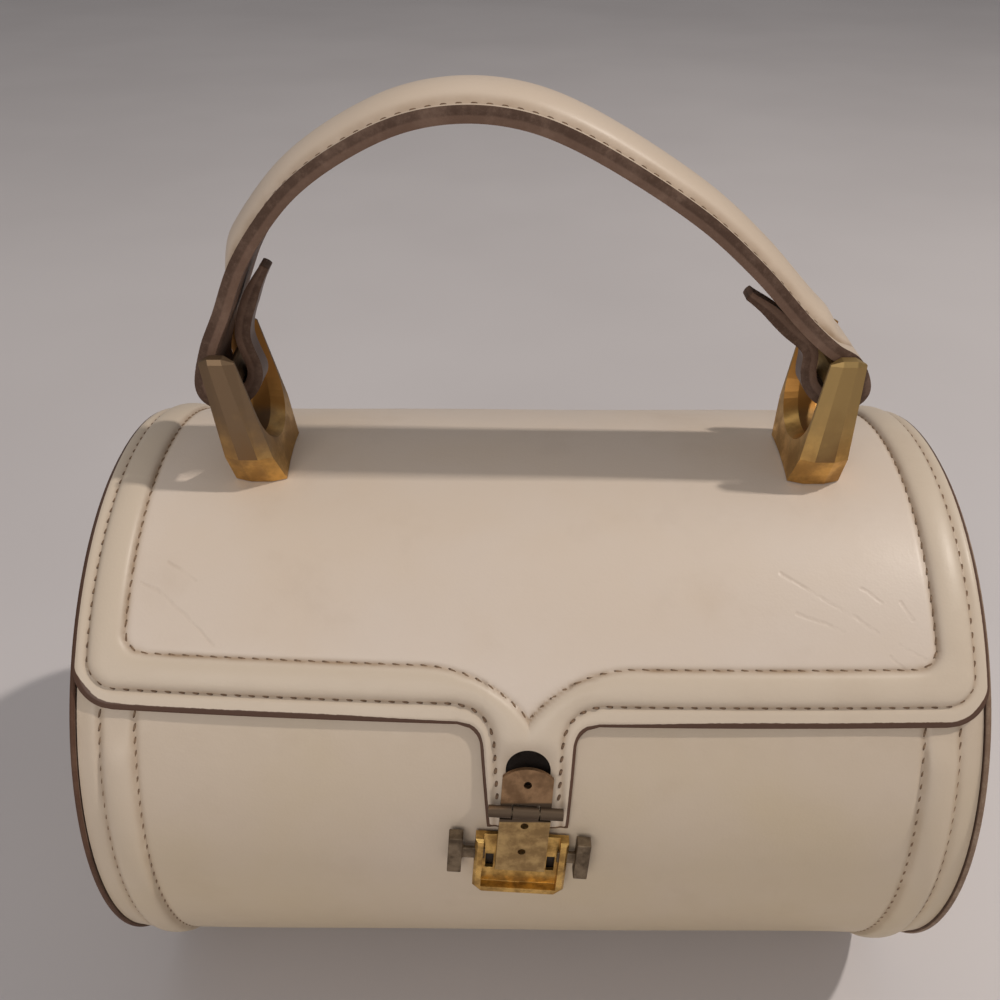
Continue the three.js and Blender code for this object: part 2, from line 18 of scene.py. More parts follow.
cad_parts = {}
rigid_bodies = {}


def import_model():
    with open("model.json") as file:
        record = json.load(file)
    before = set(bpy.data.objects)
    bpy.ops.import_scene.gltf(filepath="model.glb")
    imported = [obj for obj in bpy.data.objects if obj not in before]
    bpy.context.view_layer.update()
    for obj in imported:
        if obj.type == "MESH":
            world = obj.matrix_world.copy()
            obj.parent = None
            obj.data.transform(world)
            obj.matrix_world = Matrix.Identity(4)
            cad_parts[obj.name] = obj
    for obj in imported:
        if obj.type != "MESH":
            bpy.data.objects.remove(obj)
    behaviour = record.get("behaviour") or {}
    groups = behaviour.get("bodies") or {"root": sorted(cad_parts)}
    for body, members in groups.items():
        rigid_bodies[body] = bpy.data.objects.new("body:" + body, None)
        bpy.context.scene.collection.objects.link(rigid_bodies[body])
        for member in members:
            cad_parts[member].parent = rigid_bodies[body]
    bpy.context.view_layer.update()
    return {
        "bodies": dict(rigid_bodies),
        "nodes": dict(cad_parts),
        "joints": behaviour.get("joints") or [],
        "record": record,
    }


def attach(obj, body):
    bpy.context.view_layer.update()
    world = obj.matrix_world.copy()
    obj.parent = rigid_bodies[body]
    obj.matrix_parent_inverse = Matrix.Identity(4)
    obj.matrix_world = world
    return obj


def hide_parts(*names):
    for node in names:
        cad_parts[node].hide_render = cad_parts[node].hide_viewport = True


LOG = logging.getLogger("handbag")
Array = np.ndarray
Colour = tuple[float, float, float]
Pair = tuple[float, float]
Piece = bpy.types.Object
Material = bpy.types.Material
Socket = bpy.types.NodeSocket

MM = 0.001
SOFT_EDGE_DEG = 40.0
SPLINE_STEPS = 40
STITCH_LEAN_DEG = 14.0
STITCH_LIFT = 0.05


class Face(IntEnum):
    """The kinds of surface on a leather piece, as material slot numbers."""

    OUTSIDE = 0
    EDGE = 1
    INSIDE = 2
    WINDOW = 3


class Sewing(Enum):
    """Kinds of stitch, as the share of the pitch that thread covers, its radius and its material slot."""

    BOLD = (0.54, 0.36, 0)
    FINE = (0.72, 0.27, 1)


class Side(Enum):
    """The two ends of the bag, as signs along X."""

    LEFT = -1
    RIGHT = 1


# Small array helpers


def smooth(value: Array, low: float, high: float) -> Array:
    """Smoothstep of a value between two limits.

    Args:
        value: Numbers to blend.
        low: Where the blend is 0.
        high: Where the blend is 1.

    Returns:
        3 t squared minus 2 t cubed, with t held between 0 and 1.
    """
    t = np.clip((np.asarray(value, dtype=float) - low) / (high - low), 0.0, 1.0)
    return t * t * (3.0 - 2.0 * t)


def bell(distance: Array, reach: float) -> Array:
    """A bell curve: 1 at no distance, and nearly 0 at twice its reach."""
    return np.exp(-((distance / reach) ** 2))


def unit(vectors: Array) -> Array:
    """Vectors scaled to length 1 along their last axis."""
    return vectors / np.maximum(np.linalg.norm(vectors, axis=-1, keepdims=True), 1e-9)


def steps(start: float, stop: float, pitch: float) -> Array:
    """Evenly spaced numbers from start to stop, about a pitch apart."""
    return np.linspace(start, stop, max(2, int(round(abs(stop - start) / pitch)) + 1))


def mirrored(right: Array) -> Array:
    """A row of columns made whole: the right half, which starts at 0, with its mirror on the left."""
    return np.concatenate([-right[:0:-1], right])


def rounded_box(x: Array, y: Array, half_x: float, half_y: float, corner: float) -> Array:
    """Signed distance to a box with rounded corners, negative inside.

    Args:
        x: Distance from the box's middle across.
        y: Distance from the box's middle along.
        half_x: Half width.
        half_y: Half length.
        corner: Corner radius.

    Returns:
        Length of the part outside the shrunken box, plus the depth inside it, minus the radius.
    """
    qx = np.abs(x) - half_x + corner
    qy = np.abs(y) - half_y + corner
    outside = np.hypot(np.maximum(qx, 0.0), np.maximum(qy, 0.0))
    return outside + np.minimum(np.maximum(qx, qy), 0.0) - corner


def joined_distance(first: Array, second: Array, fillet: float) -> Array:
    """Union of two signed distances: the lesser one, less h squared k over 4 near the corner as a fillet."""
    k = 1.17 * fillet
    h = np.maximum(k - np.abs(first - second), 0.0) / k
    return np.minimum(first, second) - h * h * k / 4.0


def arc(centre: Pair, radius: float, start: float, stop: float, count: int = 14) -> Array:
    """Points on a circle from one angle to another, in degrees, as rows of two coordinates."""
    turn = np.radians(np.linspace(start, stop, count))
    return np.stack([centre[0] + radius * np.cos(turn), centre[1] + radius * np.sin(turn)], axis=1)


def runs(path: Array) -> Array:
    """Distance of each of a path's points from its first one, along the path."""
    return np.concatenate([[0.0], np.cumsum(np.linalg.norm(np.diff(path, axis=0), axis=1))])


def spaced(path: Array, count: int) -> Array:
    """A number of points set evenly along a path's length."""
    run = runs(path)
    at = np.linspace(0.0, run[-1], count)
    return np.stack([np.interp(at, run, path[:, k]) for k in range(path.shape[1])], axis=1)


def resampled(path: Array, pitch: float) -> Array:
    """A path's points set evenly, about a pitch apart, with the first and the last kept."""
    return spaced(path, len(steps(0.0, runs(path)[-1], pitch)))


def spline(knots: Array, count: int) -> Array:
    """A centripetal Catmull-Rom curve through knots, set evenly along its length.

    Each span blends its two knots and their neighbours by repeated linear steps, with the knots' times
    apart by the square root of their distance. The end knots' missing neighbours are mirrored ones.

    Args:
        knots: Rows of coordinates.
        count: Number of points wanted.

    Returns:
        Evenly spaced rows of coordinates.
    """
    ends = np.concatenate([[2 * knots[0] - knots[1]], knots, [2 * knots[-1] - knots[-2]]])
    p0, p1, p2, p3 = ends[:-3], ends[1:-2], ends[2:-1], ends[3:]
    gaps = [np.sqrt(np.linalg.norm(b - a, axis=1)) for a, b in ((p0, p1), (p1, p2), (p2, p3))]
    t0, t1, t2, t3 = np.cumsum([np.zeros(len(p0)), *gaps], axis=0)
    u = np.linspace(0.0, 1.0, SPLINE_STEPS, endpoint=False)
    t = (t1[:, None] + u[None, :] * (t2 - t1)[:, None])[..., None]

    def mix(a: Array, b: Array, ta: Array, tb: Array) -> Array:
        """Linear step between two values over their times."""
        ta, tb = ta[:, None, None], tb[:, None, None]
        return ((tb - t) * a + (t - ta) * b) / (tb - ta)

    q0, q1, q2, q3 = (p[:, None, :] for p in (p0, p1, p2, p3))
    a1, a2, a3 = mix(q0, q1, t0, t1), mix(q1, q2, t1, t2), mix(q2, q3, t2, t3)
    b1, b2 = mix(a1, a2, t0, t2), mix(a2, a3, t1, t3)
    curve = np.concatenate([mix(b1, b2, t1, t2).reshape(-1, knots.shape[1]), knots[-1:]])
    return spaced(curve, count)


# Meshes


def linked(name: str, data: bpy.types.ID) -> Piece:
    """A new object of some data, put into the scene."""
    made = bpy.data.objects.new(name, data)
    bpy.context.scene.collection.objects.link(made)
    return made


def shaded(mesh: bpy.types.Mesh, materials: list[Material], sharp_deg: float) -> Piece:
    """A mesh's object with its materials, smooth but at edges that turn more than an angle.

    Args:
        mesh: The mesh, whose name the object takes.
        materials: One for each slot number in use.
        sharp_deg: Edges that turn more than this stay sharp.

    Returns:
        The linked object, at the origin.
    """
    mesh.polygons.foreach_set("use_smooth", np.ones(len(mesh.polygons), dtype=bool))
    mesh.set_sharp_from_angle(angle=math.radians(sharp_deg))
    for material in materials:
        mesh.materials.append(material)
    return linked(mesh.name, mesh)


@dataclass
class Surface:
    """A mesh of quads in millimetres, with a material slot for each quad and numbers at its points.

    Attributes:
        points: Rows of x, y, z.
        quads: Rows of four point numbers.
        slots: The material slot of each quad.
        values: Named numbers at the points, which the materials read.
    """

    points: Array
    quads: Array
    slots: Array
    values: dict[str, Array] = field(default_factory=dict)

    def make(self, name: str, materials: list[Material]) -> Piece:
        """Makes the mesh object, with its faces turned outwards.

        Args:
            name: The piece's name.
            materials: One for each slot number in use.

        Returns:
            The linked object, at the origin.
        """
        mesh = bpy.data.meshes.new(name)
        count = len(self.quads)
        mesh.vertices.add(len(self.points))
        mesh.vertices.foreach_set("co", (self.points * MM).astype(np.float32).ravel())
        mesh.loops.add(4 * count)
        mesh.loops.foreach_set("vertex_index", self.quads.astype(np.int32).ravel())
        mesh.polygons.add(count)
        mesh.polygons.foreach_set("loop_start", np.arange(0, 4 * count, 4, dtype=np.int32))
        mesh.polygons.foreach_set("material_index", self.slots.astype(np.int32))
        mesh.update(calc_edges=True)
        for key, numbers in self.values.items():
            wide = numbers.ndim == 2
            layer = mesh.attributes.new(key, "FLOAT_VECTOR" if wide else "FLOAT", "POINT")
            layer.data.foreach_set("vector" if wide else "value", numbers.astype(np.float32).ravel())
        work = bmesh.new()
        work.from_mesh(mesh)
        bmesh.ops.recalc_face_normals(work, faces=work.faces)
        work.to_mesh(mesh)
        work.free()
        return shaded(mesh, materials, SOFT_EDGE_DEG)


def grid_quads(numbers: Array) -> Array:
    """Quads between neighbours in a grid of point numbers."""
    corners = [numbers[:-1, :-1], numbers[:-1, 1:], numbers[1:, 1:], numbers[1:, :-1]]
    return np.stack([c.ravel() for c in corners], axis=1)


def slab(outer: Array, inner: Array, bulge: float, values: dict[str, Array], rings: int = 6) -> Surface:
    """A closed sheet of leather between two grids, with a rounded cut edge all round.

    The edge's points run from the outer rim to the inner one and stand out by the sine of the way across,
    and none goes below the floor. The way across is stored at every point.

    Args:
        outer: Grid of outside points.
        inner: Grid of inside points, of the same shape.
        bulge: How far the cut edge stands out at its middle.
        values: Named grids of numbers or vectors for the outside; the other points get 0.
        rings: Number of strips across the cut edge.

    Returns:
        The sheet, with its slots from Face.
    """
    rows, columns = outer.shape[:2]
    top = np.arange(rows * columns).reshape(rows, columns)
    rim = np.concatenate([top[0], top[1:, -1], top[-1, -2::-1], top[-2:0:-1, 0]])
    out_rim = outer.reshape(-1, 3)[rim]
    in_rim = inner.reshape(-1, 3)[rim]
    along = unit(np.roll(out_rim, -1, axis=0) - np.roll(out_rim, 1, axis=0))
    away = np.cross(along, unit(out_rim - in_rim))
    away *= np.sign(np.sum(away * (out_rim - outer.reshape(-1, 3).mean(axis=0))))
    t = np.linspace(0.0, 1.0, rings + 1)[1:-1, None, None]
    between = out_rim * (1 - t) + in_rim * t + away * bulge * np.sin(np.pi * t) ** 0.6
    between[..., 2] = np.maximum(between[..., 2], 0.0)
    total = rows * columns
    ring_numbers = 2 * total + np.arange((rings - 1) * len(rim)).reshape(rings - 1, len(rim))
    strip = np.concatenate([rim[None], ring_numbers, rim[None] + total])
    strip = np.concatenate([strip, strip[:, :1]], axis=1)
    parts = [grid_quads(top), grid_quads(strip), grid_quads(top + total)]
    slots = np.repeat([Face.OUTSIDE, Face.EDGE, Face.INSIDE], [len(p) for p in parts])
    points = np.concatenate([outer.reshape(-1, 3), inner.reshape(-1, 3), between.reshape(-1, 3)])
    full = {"across": np.concatenate([np.zeros(total), np.ones(total), np.repeat(t.ravel(), len(rim))])}
    for key, grid in values.items():
        listed = grid.reshape(total, *grid.shape[2:])
        full[key] = np.concatenate([listed, np.zeros((len(points) - total, *grid.shape[2:]))])
    return Surface(points, np.concatenate(parts), slots, full)


def stitches(middles: Array, along: Array, out: Array, length: float, radius: float) -> Surface:
    """Thread seen between needle holes: one small pill at each middle, all in one mesh.

    A pill is a six-sided tube whose radius follows a half circle near its ends; it leans a little across
    the row, as sewing does. Its ends, which go into the needle holes, are marked.

    Args:
        middles: Rows of pill middles.
        along: Unit directions of the row at each.
        out: Unit directions away from the leather at each.
        length: Length of a pill.
        radius: Its radius at the middle.

    Returns:
        The joined pills.
    """
    across = np.cross(along, out)
    lean = math.radians(STITCH_LEAN_DEG)
    ahead = along * math.cos(lean) + across * math.sin(lean)
    aside = np.cross(ahead, out)
    place = np.array([-0.5, -0.42, -0.2, 0.2, 0.42, 0.5]) * length
    girth = np.array([0.25, 0.75, 1.0, 1.0, 0.75, 0.25]) * radius
    dip = np.array([-0.7, -0.25, 0.0, 0.0, -0.25, -0.7]) * radius
    turn = np.arange(6) * math.pi / 3.0
    shape = np.stack(
        [
            np.repeat(place[:, None], 6, axis=1),
            girth[:, None] * np.sin(turn) + dip[:, None],
            girth[:, None] * np.cos(turn),
        ],
        axis=-1,
    ).reshape(-1, 3)
    frames = np.stack([ahead, out, aside], axis=1)
    points = middles[:, None, :] + np.einsum("pk,nkc->npc", shape, frames)
    ring = np.arange(36).reshape(6, 6)
    walls = grid_quads(np.concatenate([ring, ring[:, :1]], axis=1))
    caps = np.array([[0, 1, 2, 3], [0, 3, 4, 5], [33, 32, 31, 30], [35, 34, 33, 30]])
    one = np.concatenate([walls, caps])
    quads = (one[None] + 36 * np.arange(len(middles))[:, None, None]).reshape(-1, 4)
    # The ends are marked for painted shade where they go into the needle holes.
    hole_shade = np.tile(np.repeat([1.0, 0.8, 0.0, 0.0, 0.8, 1.0], 6), len(middles))
    return Surface(points.reshape(-1, 3), quads, np.zeros(len(quads), dtype=int), {"hole_shade": hole_shade})


def thread_on(points: Array, out: Array, kind: Sewing = Sewing.BOLD) -> Surface:
    """Stitches between evenly spaced points of a row.

    Args:
        points: The needle holes, in order.
        out: Unit directions away from the leather at each.
        kind: The kind of stitch.

    Returns:
        The joined stitches.
    """
    share, radius, slot = kind.value
    gaps = np.diff(points, axis=0)
    middles = (points[:-1] + points[1:]) / 2.0
    lift = unit(out[:-1] + out[1:])
    length = float(np.linalg.norm(gaps, axis=1).mean()) * share
    made = stitches(middles + STITCH_LIFT * lift, unit(gaps), lift, length, radius)
    made.slots[:] = slot
    return made


def merged(parts: list[Surface]) -> Surface:
    """Several meshes as one, with no point shared.

    Args:
        parts: The meshes.

    Returns:
        The whole mesh.
    """
    shift = np.cumsum([0] + [len(p.points) for p in parts[:-1]])
    return Surface(
        np.concatenate([p.points for p in parts]),
        np.concatenate([p.quads + s for p, s in zip(parts, shift)]),
        np.concatenate([p.slots for p in parts]),
        {key: np.concatenate([p.values[key] for p in parts]) for key in parts[0].values},
    )


# Finishes


class Nodes:
    """A material's node tree with short ways to add nodes and links."""

    def __init__(self, name: str) -> None:
        """Starts a new material with a principled shader.

        Args:
            name: The material's name.
        """
        self.material = bpy.data.materials.new(name)
        self.material.use_nodes = True
        self.tree = self.material.node_tree
        self.shader = self.tree.nodes["Principled BSDF"]
        self.place = self.tree.nodes.new("ShaderNodeTexCoord").outputs["Object"]

    def put(self, socket: Socket, value: object) -> None:
        """Sets a socket's value, or links another socket to it.

        Args:
            socket: The socket.
            value: A number, a colour or the other socket.
        """
        if isinstance(value, Socket):
            self.tree.links.new(value, socket)
        elif isinstance(value, tuple) and len(value) == 3 and socket.type == "RGBA":
            socket.default_value = (*value, 1.0)
        else:
            socket.default_value = value

    def fill(self, node: bpy.types.Node, **inputs: object) -> None:
        """Sets or links a node's inputs by name, with underscores for spaces."""
        for key, value in inputs.items():
            self.put(node.inputs[key.replace("_", " ")], value)

    def add(self, kind: str, **inputs: object) -> bpy.types.Node:
        """Adds a node and sets or links its inputs by name."""
        node = self.tree.nodes.new(kind)
        self.fill(node, **inputs)
        return node

    def operation(self, kind: str, what: str, values: tuple[object, ...]) -> bpy.types.Node:
        """Adds a node that does one of its kind's operations.

        Args:
            kind: The node's type name.
            what: The operation.
            values: Values or sockets for its inputs, in order.

        Returns:
            The node.
        """
        node = self.tree.nodes.new(kind)
        node.operation = what
        for socket, value in zip(node.inputs, values):
            self.put(socket, value)
        return node

    def vector(self, what: str, *values: object) -> bpy.types.Node:
        """A vector math node with its inputs set in order."""
        return self.operation("ShaderNodeVectorMath", what, values)

    def math(self, what: str, *values: object) -> Socket:
        """A math node's result."""
        return self.operation("ShaderNodeMath", what, values).outputs[0]

    def times(self, first: object, second: object) -> Socket:
        """The product of two numbers."""
        return self.math("MULTIPLY", first, second)

    def part(self, vector: Socket, axis: str) -> Socket:
        """One axis of a vector."""
        return self.add("ShaderNodeSeparateXYZ", Vector=vector).outputs[axis]

    def facing(self, axis: str) -> Socket:
        """One axis of the surface's normal."""
        return self.part(self.tree.nodes.new("ShaderNodeNewGeometry").outputs["Normal"], axis)

    def stretched(self, scale: Colour, turn: Colour = (0.0, 0.0, 0.0)) -> Socket:
        """Object coordinates scaled and turned along each axis."""
        return self.add("ShaderNodeMapping", Vector=self.place, Scale=scale, Rotation=turn).outputs["Vector"]

    def noise(self, scale: float, detail: float = 4.0, rough: float = 0.55, where: object = None) -> Socket:
        """Noise from 0 to 1 with a number of features per metre."""
        inputs = {"Vector": where or self.place, "Scale": scale, "Detail": detail, "Roughness": rough}
        return self.add("ShaderNodeTexNoise", **inputs).outputs["Fac"]

    def segment(self, where: Socket, start: Colour, stop: Colour) -> Socket:
        """Distance from a place to a straight segment.

        The place less the start is dotted with the segment over its length squared; that share, held between
        0 and 1, gives the nearest point.

        Args:
            where: The place.
            start: The segment's first end.
            stop: Its other end.

        Returns:
            The distance.
        """
        span = Vector(stop) - Vector(start)
        offset = self.vector("SUBTRACT", where, start).outputs["Vector"]
        dot = self.vector("DOT_PRODUCT", offset, tuple(span / span.length_squared)).outputs["Value"]
        share = self.math("ADD", dot, 0.0)
        share.node.use_clamp = True
        scale = self.vector("SCALE", tuple(span))
        self.fill(scale, Scale=share)
        gap = self.vector("SUBTRACT", offset, scale.outputs["Vector"]).outputs["Vector"]
        return self.vector("LENGTH", gap).outputs["Value"]

    def ramp(self, factor: Socket, low: float, high: float) -> Socket:
        """A factor stretched smoothly so that low gives 0 and high gives 1."""
        node = self.add("ShaderNodeMapRange", Value=factor, From_Min=low, From_Max=high)
        node.interpolation_type = "SMOOTHSTEP"
        return node.outputs["Result"]

    def spread(self, factor: Socket, low: float, high: float) -> Socket:
        """A factor from 0 to 1 stretched to a range."""
        return self.add("ShaderNodeMapRange", Value=factor, To_Min=low, To_Max=high).outputs["Result"]

    def mix(self, factor: object, first: object, second: object) -> Socket:
        """A blend of two colours.

        Args:
            factor: Share of the second.
            first: A colour or a socket.
            second: A colour or a socket.

        Returns:
            The blend.
        """
        node = self.tree.nodes.new("ShaderNodeMix")
        node.data_type = "RGBA"
        for socket, value in ((node.inputs[0], factor), (node.inputs[6], first), (node.inputs[7], second)):
            self.put(socket, value)
        return node.outputs[2]

    def attribute(self, name: str, output: str = "Fac") -> Socket:
        """A number or a vector stored at the mesh's points."""
        node = self.tree.nodes.new("ShaderNodeAttribute")
        node.attribute_name = name
        return node.outputs[output]

    def bump(self, height: Socket, depth: float, strength: float, under: object = None) -> Socket:
        """A bumped normal from a height, over another normal where one is given.

        Args:
            height: The height.
            depth: What a height of 1 is.
            strength: Of the bump.
            under: The other normal.

        Returns:
            The normal.
        """
        node = self.add("ShaderNodeBump", Height=height, Distance=depth, Strength=strength)
        if under is not None:
            self.fill(node, Normal=under)
        return node.outputs["Normal"]


@dataclass(frozen=True)
class Finish:
    """A kind of surface that is made as a material.

    Attributes:
        name: Material name.
    """

    name: str

    def make(self) -> Material:
        """The material, with the nodes that the kind adds."""
        n = Nodes(self.name)
        self.build(n)
        return n.material

    def build(self, n: Nodes) -> None:
        """Adds the nodes that give the look, to the material's nodes."""
        raise NotImplementedError


@dataclass(frozen=True)
class Leather(Finish):
    """Smooth aged leather: tone drifts, seams hold dirt, and there are fine grain and a few creases; painted
    shade darkens the creases, the border and places that the mesh marks.

    Attributes:
        base: The clean colour.
        aged: The yellowed colour.
        dirt_and_shade: The colour of the dirt along seams, also used as painted shade under the flap and in
            the creases.
        paint_and_shade: The colour where the mesh says that the leather is painted or bare, and on the body
            the painted shade under the clasp.
        roughness: Mean roughness.
        border: A darker colour for the border, where the mesh names one: painted shade.
        creases: Crease lines as x, s, x, s of their ends on the flat leather.
    """

    base: Colour
    aged: Colour
    dirt_and_shade: Colour
    paint_and_shade: Colour
    roughness: float = 0.4
    border: Colour | None = None
    creases: tuple[tuple[float, float, float, float], ...] = ()

    def tone(self, n: Nodes) -> Socket:
        """The colour before the paint.

        Slow drift, yellower low down, the border darkened as painted shade, faint blotches, then seam dirt
        and painted shade by the mesh's mask.

        Args:
            n: The material's nodes.

        Returns:
            The colour.
        """
        tone = n.mix(n.ramp(n.noise(13.0, 4.0), 0.3, 0.75), self.base, self.aged)
        tone = n.mix(n.times(n.ramp(n.part(n.place, "Z"), 0.08, 0.02), 0.8), tone, self.aged)
        if self.border:
            tone = n.mix(n.attribute("border"), tone, self.border)
        blotch = n.ramp(n.noise(60.0, 6.0, 0.6), 0.52, 0.8)
        tone = n.mix(n.times(blotch, 0.1), tone, self.dirt_and_shade)
        # Seam dirt and, under the flap, painted shade, from the mesh's mask, broken up by noise.
        worn = n.times(n.attribute("soil_and_shade"), n.ramp(n.noise(170.0, 4.0), 0.1, 0.75))
        return n.mix(worn, tone, self.dirt_and_shade)

    def folds(self, n: Nodes) -> Socket:
        """Nearness to a crease, from 0 to 1.

        The flat place is bent by noise; the least of the distances to the lines is turned to a soft line,
        and noise breaks it up.

        Args:
            n: The material's nodes.

        Returns:
            The nearness.
        """
        swirl = n.add("ShaderNodeTexNoise", Vector=n.place, Scale=70.0, Detail=3.0).outputs["Color"]
        flat = n.attribute("flat", "Vector")
        bent = n.vector("MULTIPLY_ADD", swirl, (4.0, 4.0, 0.0), flat).outputs["Vector"]
        least, *others = (n.segment(bent, (*line[:2], 0.0), (*line[2:], 0.0)) for line in self.creases)
        for distance in others:
            least = n.math("MINIMUM", least, distance)
        line = n.math("SUBTRACT", 1.0, n.ramp(least, 0.05, 0.7))
        return n.times(line, n.ramp(n.noise(150.0, 4.0), 0.36, 0.66))

    def build(self, n: Nodes) -> None:
        """Adds the tone, three layers of grain, the creases with painted shade along them, the paint and the
        gloss.

        Args:
            n: The material's nodes.
        """
        tone = self.tone(n)
        cells = n.add("ShaderNodeTexVoronoi", Vector=n.place, Scale=1500.0)
        normal = n.bump(cells.outputs["Distance"], 0.0001, 0.14)
        normal = n.bump(n.noise(110.0, 5.0, 0.6), 0.0004, 0.22, normal)
        streak = n.noise(420.0, 3.0, 0.6, n.stretched((0.3, 1.0, 1.0), (0.0, 0.0, 0.6)))
        normal = n.bump(streak, 0.00015, 0.2, normal)
        if self.creases:
            fold = self.folds(n)
            normal = n.bump(n.math("SUBTRACT", 1.0, fold), 0.0005, 0.28, normal)
            # Painted shade along the creases.
            tone = n.mix(n.times(fold, 0.13), tone, self.dirt_and_shade)
        ragged = n.math("MULTIPLY_ADD", n.noise(700.0, 3.0), 0.16, n.attribute("paint_and_shade"))
        tone = n.mix(n.ramp(ragged, 0.55, 0.62), tone, self.paint_and_shade)
        gloss = n.spread(n.noise(90.0, 4.0), self.roughness - 0.1, self.roughness + 0.12)
        n.fill(n.shader, Base_Color=tone, Roughness=gloss, Normal=normal)
        n.fill(n.shader, Specular_IOR_Level=0.35, Coat_Weight=0.05, Coat_Roughness=0.3)


@dataclass(frozen=True)
class CutEdge(Finish):
    """Painted or raw leather seen at a cut: brown with fibres and rubbed patches, in two layers.

    Attributes:
        base: The colour of the outer layer.
        lower: The colour of the inner layer.
        rubbed: The colour where the paint has worn.
        fibres: How strongly the fibres show in the surface.
    """

    base: Colour
    lower: Colour
    rubbed: Colour
    fibres: float = 0.35

    def build(self, n: Nodes) -> None:
        """Adds the two layers, worn patches, flecks and fibres.

        Args:
            n: The material's nodes.
        """
        wear = n.ramp(n.noise(140.0, 6.0, 0.7), 0.42, 0.78)
        fleck = n.ramp(n.noise(900.0, 3.0, 0.7), 0.45, 0.8)
        tone = n.mix(n.ramp(n.attribute("across"), 0.45, 0.6), self.base, self.lower)
        tone = n.mix(n.times(wear, 0.6), tone, self.rubbed)
        tone = n.mix(n.times(fleck, 0.3), tone, self.rubbed)
        normal = n.bump(n.noise(1400.0, 4.0, 0.7), 0.0003, self.fibres)
        n.fill(n.shader, Base_Color=tone, Normal=normal, Roughness=0.6, Specular_IOR_Level=0.2)


@dataclass(frozen=True)
class Metal(Finish):
    """Plated metal that has darkened in patches, worn over a band of heights and browned on its broad faces,
    partly as painted dark reflection.

    Attributes:
        bright: The plating's colour.
        dull: The colour of the tarnish.
        tarnish: Share of the noise that is tarnished, from 0 to 1.
        roughness: Roughness of the clean plating.
        worn: The colour of the bare metal past the band.
        worn_band: Heights in metres over which the plating gives way, the clean one first.
        ragged: How far noise moves that band, in metres.
        patina: The colour on faces that look straight to the front or the back, and how much of it shows;
            partly tarnish, partly painted dark reflection.
        patches: Stains per metre.
        hollow: The colour on faces that look inwards to an upright plane, and that plane's Y in metres.
        reach: Half the hollow's width in metres.
    """

    bright: Colour
    dull: Colour
    tarnish: float = 0.55
    roughness: float = 0.36
    worn: Colour = (0.2, 0.15, 0.1)
    worn_band: Pair = (10.0, 11.0)
    ragged: float = 0.012
    patina: tuple[Colour, float] | None = None
    patches: float = 300.0
    hollow: tuple[Colour, float] | None = None
    reach: float = 0.011

    def browned(self, n: Nodes) -> Socket:
        """Share of brown, partly tarnish and partly painted dark reflection: high where the normal has little
        X and does not look down, less by noise.

        Args:
            n: The material's nodes.

        Returns:
            The share.
        """
        level = n.ramp(n.math("ABSOLUTE", n.facing("X")), 0.24, 0.1)
        upright = n.ramp(n.facing("Z"), -0.4, -0.2)
        share = n.times(n.times(level, upright), self.patina[1])
        return n.times(share, n.ramp(n.noise(190.0, 4.0), 0.1, 0.45))

    def inward(self, n: Nodes) -> Socket:
        """How much a face looks to the plane: its distance from it, turned round by the normal's Y."""
        away = n.math("SUBTRACT", n.part(n.place, "Y"), self.hollow[1])
        return n.ramp(n.times(away, n.facing("Y")), -0.15 * self.reach, -0.45 * self.reach)

    def build(self, n: Nodes) -> None:
        """Adds stains, streaks, the patina, the worn band, the hollow and the gloss.

        Args:
            n: The material's nodes.
        """
        edge = 0.85 - 0.6 * self.tarnish
        stain = n.ramp(n.noise(self.patches, 5.0, 0.6), edge - 0.2, edge + 0.15)
        streak = n.ramp(n.noise(420.0, 4.0, 0.6, n.stretched((1.0, 1.0, 0.2))), 0.45, 0.85)
        tone = n.mix(n.times(stain, 0.8), self.bright, self.dull)
        tone = n.mix(n.times(streak, 0.3), tone, self.dull)
        # Painted dark reflection, partly tarnish: faces that look front or back are browned.
        if self.patina:
            brown = self.browned(n)
            tone = n.mix(brown, tone, self.patina[0])
            stain = n.math("MAXIMUM", stain, n.times(brown, 1.6))
        level = n.math("MULTIPLY_ADD", n.noise(160.0, 3.0), self.ragged, n.part(n.place, "Z"))
        bare = n.ramp(level, *self.worn_band)
        tone = n.mix(bare, tone, self.worn)
        if self.hollow:
            inside = self.inward(n)
            tone = n.mix(n.times(inside, 0.85), tone, self.hollow[0])
            stain = n.math("MAXIMUM", stain, inside)
        gloss = n.spread(n.math("MAXIMUM", stain, bare), self.roughness, self.roughness + 0.26)
        normal = n.bump(n.noise(1200.0, 5.0, 0.6), 0.00008, 0.3)
        n.fill(n.shader, Base_Color=tone, Roughness=gloss, Normal=normal, Metallic=1.0)


@dataclass(frozen=True)
class Thread(Finish):
    """Waxed sewing thread with its twist, and painted shade where it enters the needle holes.

    Attributes:
        base: The thread's colour.
        dark: The colour between its strands.
        hole_shade: The colour at its ends, painted shade of the needle holes.
    """

    base: Colour
    dark: Colour
    hole_shade: Colour

    def build(self, n: Nodes) -> None:
        """Adds the strands and the painted shade at the ends."""
        strand = n.ramp(n.noise(1800.0, 3.0, 0.6), 0.35, 0.7)
        tone = n.mix(n.attribute("hole_shade"), n.mix(strand, self.base, self.dark), self.hole_shade)
        n.fill(n.shader, Base_Color=tone, Normal=n.bump(strand, 0.0002, 0.5), Roughness=0.75)


@dataclass(frozen=True)
class Tabletop(Finish):
    """A plain pale floor with a faint drift of tone.

    Attributes:
        base: Its colour.
        shade: The colour of the drift.
    """

    base: Colour
    shade: Colour

    def build(self, n: Nodes) -> None:
        """Adds the drift."""
        tone = n.mix(n.ramp(n.noise(3.0, 3.0), 0.3, 0.7), self.base, self.shade)
        n.fill(n.shader, Base_Color=tone, Roughness=0.55)


